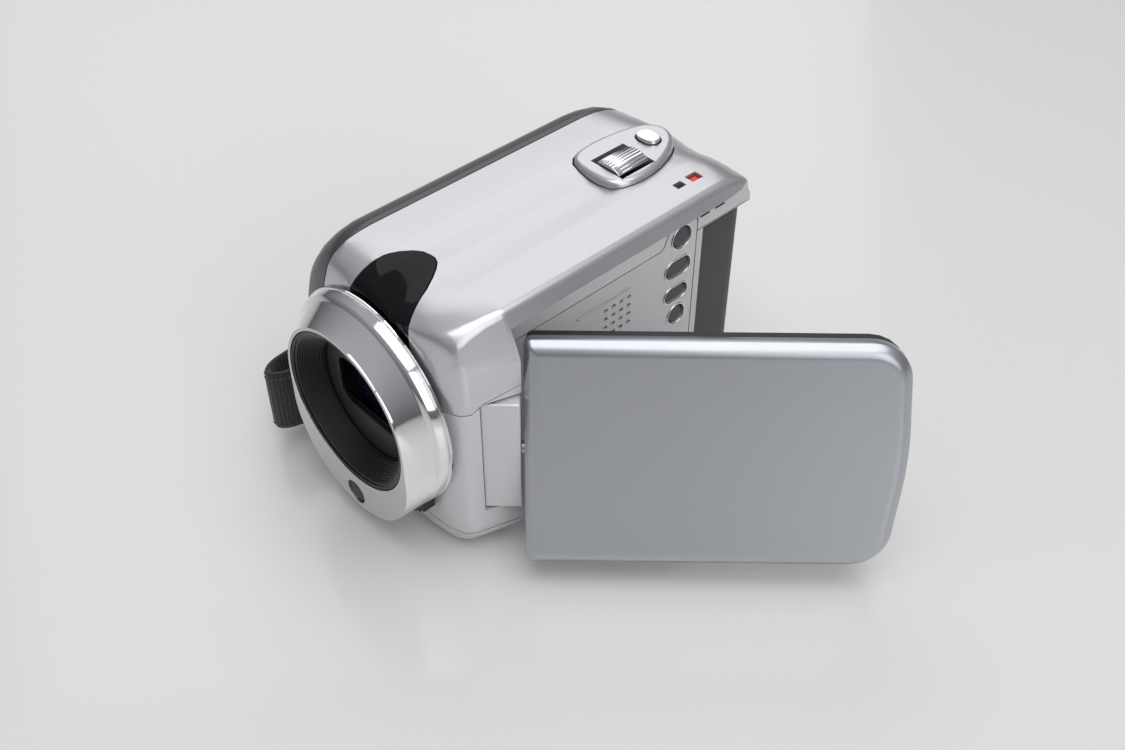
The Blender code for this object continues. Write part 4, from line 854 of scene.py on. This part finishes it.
def record_circle(radius, lift, count):
    """Points round the record button's axis, lifted off its face; both sizes are in mm."""
    return [(record.x + radius * MM * math.cos(turn), record_face + lift * MM,
             record.z + radius * MM * math.sin(turn)) for turn in turns(count)]


dot = [record_circle(radius, lift, 40) for radius, lift in DOT_STEPS]
keep(skin("record_dot", dot, FINISH["red_lamp"]), "record_button", False)
well = record_circle(4.5, -1.0, 56)
keep(tube("record_bead", well, 0.28, FINISH["dark_button"]), "rear_cover", False)
print("dot mm across", 2 * DOT_STEPS[0][0])

# %% [markdown]
# The battery has five grip ribs, because it is pulled out backwards, and the jack cover has a lip for
# a fingernail. Each rib is a bead half sunk in the face, which leaves a soft ridge.

# %% Battery ribs and jack cover lip
pack_low, pack_high = corners("battery")
GRIP_RIBS, GRIP_START, GRIP_PITCH, SUNK = 5, 9, 2.2, 0.1 * MM
for number in range(GRIP_RIBS):
    z = pack_low.z + (GRIP_START + GRIP_PITCH * number) * MM
    ends = [(x, pack_high.y - SUNK, z) for x in (pack_low.x + 7 * MM, pack_high.x - 8 * MM)]
    rib = tube(f"battery_rib_{number + 1}", ends, 0.45, FINISH["battery_grey"], closed=False)
    keep(rib, "battery", False)
flap_low, flap_high = corners("jack_cover")
ends = [(x, flap_high.y, flap_high.z - 1.6 * MM) for x in (flap_low.x + 2.4 * MM, flap_high.x - 2.4 * MM)]
nail_lip = tube("jack_cover_lip", ends, 0.4, FINISH["matte_black"], closed=False)
keep(nail_lip, "jack_cover", False)
print("grip ribs", GRIP_RIBS)

# %% [markdown]
# Under the body, the tripod socket shows its thread. The thread is one bead wound as a helix, because
# a helix is what a tap cuts. Separate rings would look the same from straight below and wrong from
# anywhere else.

# %% Tripod thread
socket, socket_floor = middle_of("tripod_socket"), corners("tripod_socket")[0].z
THREAD_PITCH, THREAD_TURNS, THREAD_SIDES, THREAD_RADIUS = 1.27 * MM, 4, 24, 3.12 * MM
helix = []
for k in range(THREAD_TURNS * THREAD_SIDES):
    turn = 2 * math.pi * k / THREAD_SIDES
    helix.append((socket.x + THREAD_RADIUS * math.cos(turn), socket.y + THREAD_RADIUS * math.sin(turn),
                  socket_floor + 1.1 * MM + THREAD_PITCH * k / THREAD_SIDES))
thread = tube("tripod_thread", helix, 0.22, FINISH["steel"], closed=False, sides=2)
keep(thread, "tripod_socket", False)
print("thread turns", THREAD_TURNS)

# %% [markdown]
# The hand strap is a flat nylon band. It leaves the front lug, loops forward, runs along the side
# and comes back to the rear lug, climbing as it goes. Its middle line is a short list of points,
# given as the distance out from the body and the place along it, with a smooth curve through them.
# Band, stitches and pad are all laid along this one line, so they can't come apart.

# %% The path of the strap
SIDE_X = corners("strap_lug_front")[1].x + 0.3 * MM
FRONT_Y, REAR_Y = middle_of("strap_lug_front").y, middle_of("strap_lug_rear").y
FRONT_Z, REAR_Z = middle_of("strap_lug_front").z, middle_of("strap_lug_rear").z
LEVEL = 0.42    # share of the strap that runs level before it climbs
ROUTE = [(SIDE_X - out * MM, y) for out, y in (
    (2.6, FRONT_Y - 4.0 * MM), (4.2, FRONT_Y - 10.4 * MM), (6.6, FRONT_Y - 12.6 * MM),
    (8.9, FRONT_Y - 9.4 * MM), (9.9, FRONT_Y), (11.8, FRONT_Y + 14 * MM), (14.4, FRONT_Y + 33 * MM),
    (13.6, REAR_Y - 14 * MM), (11.0, REAR_Y - 4 * MM), (6.6, REAR_Y + 1.6 * MM), (2.6, REAR_Y - 0.4 * MM))]


def route_spot(place):
    """Point on the smooth curve through ROUTE. A whole place is one of its points."""
    k = min(int(place), len(ROUTE) - 2)
    t = place - k
    before, a = Vector(ROUTE[max(k - 1, 0)]), Vector(ROUTE[k])
    b, after = Vector(ROUTE[k + 1]), Vector(ROUTE[min(k + 2, len(ROUTE) - 1)])
    return 0.5 * (2 * a + (b - before) * t + (2 * before - 5 * a + 4 * b - after) * t ** 2
                  + (3 * a - before - 3 * b + after) * t ** 3)


def strap_spot(share):
    """Point on the strap's middle line at this share of its route, and its outward direction."""
    place = share * (len(ROUTE) - 1)
    here = route_spot(place)
    ahead, behind = min(place + 0.02, len(ROUTE) - 1.0001), max(place - 0.02, 0)
    along = (route_spot(ahead) - route_spot(behind)).normalized()
    climb = max(0.0, share - LEVEL) / (1 - LEVEL)
    return Vector((here.x, here.y, FRONT_Z + (REAR_Z - FRONT_Z) * climb)), Vector((-along.y, along.x, 0))


def laid(share, out, up):
    """Point out from the strap's middle line and up from it, at this share of its route."""
    middle, outward = strap_spot(share)
    return middle + outward * out + Vector((0, 0, up))


print("route mm", round((strap_spot(1)[0] - strap_spot(0)[0]).length / MM, 1), "from lug to lug")

# %% [markdown]
# The band's section is a flat oval with full edges, as webbing has: a circle whose cosine and sine
# are raised to small powers. Its UV steps are the true length along the line, so that the weave
# keeps its scale through the tight loop in front.

# %% The band
BAND_HALF, BAND_TALL = 0.8 * MM, 8.5 * MM
BAND_STEPS = 110


def full(value, power):
    """Raise a sine or cosine to a power and keep its sign. A small power makes the corner fuller."""
    return math.copysign(abs(value) ** power, value)


SHARES = [k / BAND_STEPS for k in range(BAND_STEPS + 1)]
lengths = [0.0]
for a, b in zip(SHARES, SHARES[1:]):
    lengths.append(lengths[-1] + (strap_spot(b)[0] - strap_spot(a)[0]).length / MM)
band_section = [(BAND_HALF * full(math.cos(turn), 0.35), BAND_TALL * full(math.sin(turn), 0.55))
                for turn in turns(36)]
band = skin("grip_strap_band", [[laid(share, out, up) for out, up in band_section] for share in SHARES],
            FINISH["webbing"], smooth=60, uv_steps=lengths)
keep(band, "grip_strap")
print("strap length mm", round(lengths[-1], 1))

# %% [markdown]
# A row of stitches runs near each edge of the band. The path is a chain of edges on the band's outer
# face, and the tree sets the stitches along it.

# %% Stitches on the band
STITCH_STEPS, ROW_START, ROW_END, ROW_UP = 60, 0.02, 0.98, 7.1 * MM


def stitch_row(name, up):
    mesh = bpy.data.meshes.new(name + "_path")
    spots = [laid(ROW_START + (ROW_END - ROW_START) * k / STITCH_STEPS, BAND_HALF, up)
             for k in range(STITCH_STEPS + 1)]
    mesh.from_pydata(spots, [(k, k + 1) for k in range(STITCH_STEPS)], [])
    row = grow(name, STITCHES, {
        "Pitch": 2.0 * MM, "Stitch": 0.75 * MM, "Thread": 0.17 * MM, "Finish": THREAD}, mesh)
    keep(row, "grip_strap", False)


for edge, side in (("low", -1), ("high", 1)):
    stitch_row("strap_stitches_" + edge, side * ROW_UP)

# %% [markdown]
# The pad lies between the band and the hand. It is crowned: thick in the middle, drawn in at its ends
# and along the sewn seams near its edges and ends. The seams are narrow dips in the section, shaped
# by a bell curve. A cloth simulation could puff it, but the pad is firm foam and hardly wrinkles.

# %% The pad
PAD_HALF, PAD_TALL, PAD_FIRST, PAD_LAST = 2.5 * MM, 10.5 * MM, 0.405, 0.76
PAD_OUT = -(BAND_HALF + 0.5 * MM + PAD_HALF)
PAD_STEPS, PAD_LENGTH = 56, 68    # rings along it, and its length in mm for the cloth pattern


def dip(place, middle, width, depth):
    """1 away from a seam and less by depth in it."""
    return 1 - depth * math.exp(-((place - middle) / width) ** 2)


pad_rings, pad_steps = [], []
for k in range(PAD_STEPS + 1):
    share = k / PAD_STEPS
    from_middle = abs(2 * share - 1)
    end = max(0.0, 1 - from_middle ** 7) ** 0.5
    place = PAD_FIRST + (PAD_LAST - PAD_FIRST) * share
    tall = PAD_TALL * (0.72 + 0.28 * end)
    thick = PAD_HALF * (0.22 + 0.78 * end) * dip(from_middle, 0.86, 0.03, 0.22)
    ring_points = []
    for turn in turns(40):
        up, swell = full(math.sin(turn), 0.8), full(math.cos(turn), 0.75)
        seam = dip(abs(up), 0.9, 0.035, 0.3)
        ring_points.append(laid(place, PAD_OUT + thick * swell * seam, tall * up))
    pad_rings.append(ring_points)
    pad_steps.append(PAD_LENGTH * share)
pad = skin("grip_pad_cushion", pad_rings, PAD_CLOTH, smooth=60, uv_steps=pad_steps)
keep(pad, "grip_pad")
print("pad rings", len(pad_rings))

# %% [markdown]
# The stage: a pale table with a soft gloss. It is set a hair under the body, so that the two never
# share a face.

# %% The table
TABLE_SIZE, TABLE_GAP = 6.0, 0.4 * MM
bpy.ops.mesh.primitive_plane_add(size=TABLE_SIZE, location=(0, 0, -TABLE_GAP))
table = bpy.context.object
table.name = "table"
table.data.materials.append(finish(
    "table_top", (0.76, 0.755, 0.745), 0.3, mottle=0.02, Coat_Weight=0.35, Coat_Roughness=0.06))
print("table m", TABLE_SIZE)

# %% [markdown]
# The room is bright above and darker near the horizon. Chrome shows nothing of its own, so it needs
# this change of light to reflect. The ramp reads the height of the view direction.

# %% The room
world = bpy.data.worlds.new("room")
bpy.context.scene.world = world
world.use_nodes = True
sky = world.node_tree
ramp = sky.nodes.new("ShaderNodeValToRGB")
ramp.color_ramp.elements[0].position = 0.0
ramp.color_ramp.elements[0].color = (0.24, 0.24, 0.25, 1)
ramp.color_ramp.elements[1].position = 0.75
ramp.color_ramp.elements[1].color = (0.80, 0.82, 0.86, 1)
direction = sky.nodes.new("ShaderNodeTexCoord")
height = sky.nodes.new("ShaderNodeSeparateXYZ")
sky.links.new(direction.outputs["Generated"], height.inputs["Vector"])
sky.links.new(height.outputs["Z"], ramp.inputs["Fac"])
sky.links.new(ramp.outputs["Color"], sky.nodes["Background"].inputs["Color"])
sky.nodes["Background"].inputs["Strength"].default_value = 0.5
print("room strength", sky.nodes["Background"].inputs["Strength"].default_value)

# %% [markdown]
# Three large soft lights: a window behind, which is what the silver top mirrors towards the camera, a
# broad light overhead for the table, and a weaker one from the right for the screen and the front.
# A large dim light gives the wide, even reflections that show how smooth the covers are.

# %% The lights
def softbox(name, place, aim, size, power):
    light = bpy.data.lights.new(name, "AREA")
    light.shape = "RECTANGLE"
    light.size, light.size_y = size
    light.energy = power
    lamp = bpy.data.objects.new(name, light)
    lamp.location = place
    lamp.rotation_euler = (Vector(aim) - Vector(place)).to_track_quat("-Z", "Y").to_euler()
    bpy.context.scene.collection.objects.link(lamp)


softbox("window_behind", (-0.85, 0.62, 0.78), (0, 0, 0.03), (1.1, 1.0), 3.2)
softbox("overhead", (0.25, 0.0, 1.2), (0, 0, 0), (1.2, 1.2), 8.4)
softbox("fill_right", (1.0, -0.2, 0.55), (0, 0, 0.03), (0.8, 0.8), 2.9)
print("lights", len(bpy.data.lights))

# %% [markdown]
# The camera looks down on the lens and the screen from the front and the right. Its three directions
# are worked out from the line of sight and a level line to the right, so that they are square to
# each other, and then written as the columns of one matrix.

# %% Camera
CAMERA_PLACE = Vector((0.1682, -0.1459, 0.2168))
SIGHT = Vector((-0.535, 0.506, -0.676)).normalized()
RIGHTWARD = Vector((0.687, 0.727, 0.0)).normalized()
UPWARD = RIGHTWARD.cross(SIGHT).normalized()
RIGHTWARD = SIGHT.cross(UPWARD).normalized()
lens = bpy.data.cameras.new("camera")
lens.lens, lens.sensor_width = 41.6, 36.0
lens.clip_start = 0.005
eye = bpy.data.objects.new("camera", lens)
eye.matrix_world = Matrix((
    (RIGHTWARD.x, UPWARD.x, -SIGHT.x, CAMERA_PLACE.x),
    (RIGHTWARD.y, UPWARD.y, -SIGHT.y, CAMERA_PLACE.y),
    (RIGHTWARD.z, UPWARD.z, -SIGHT.z, CAMERA_PLACE.z),
    (0, 0, 0, 1)))
bpy.context.scene.collection.objects.link(eye)
bpy.context.scene.camera = eye
bpy.context.scene.view_settings.view_transform = "Standard"
print("camera mm from the lens ring", round((CAMERA_PLACE - ring_low).length / MM))
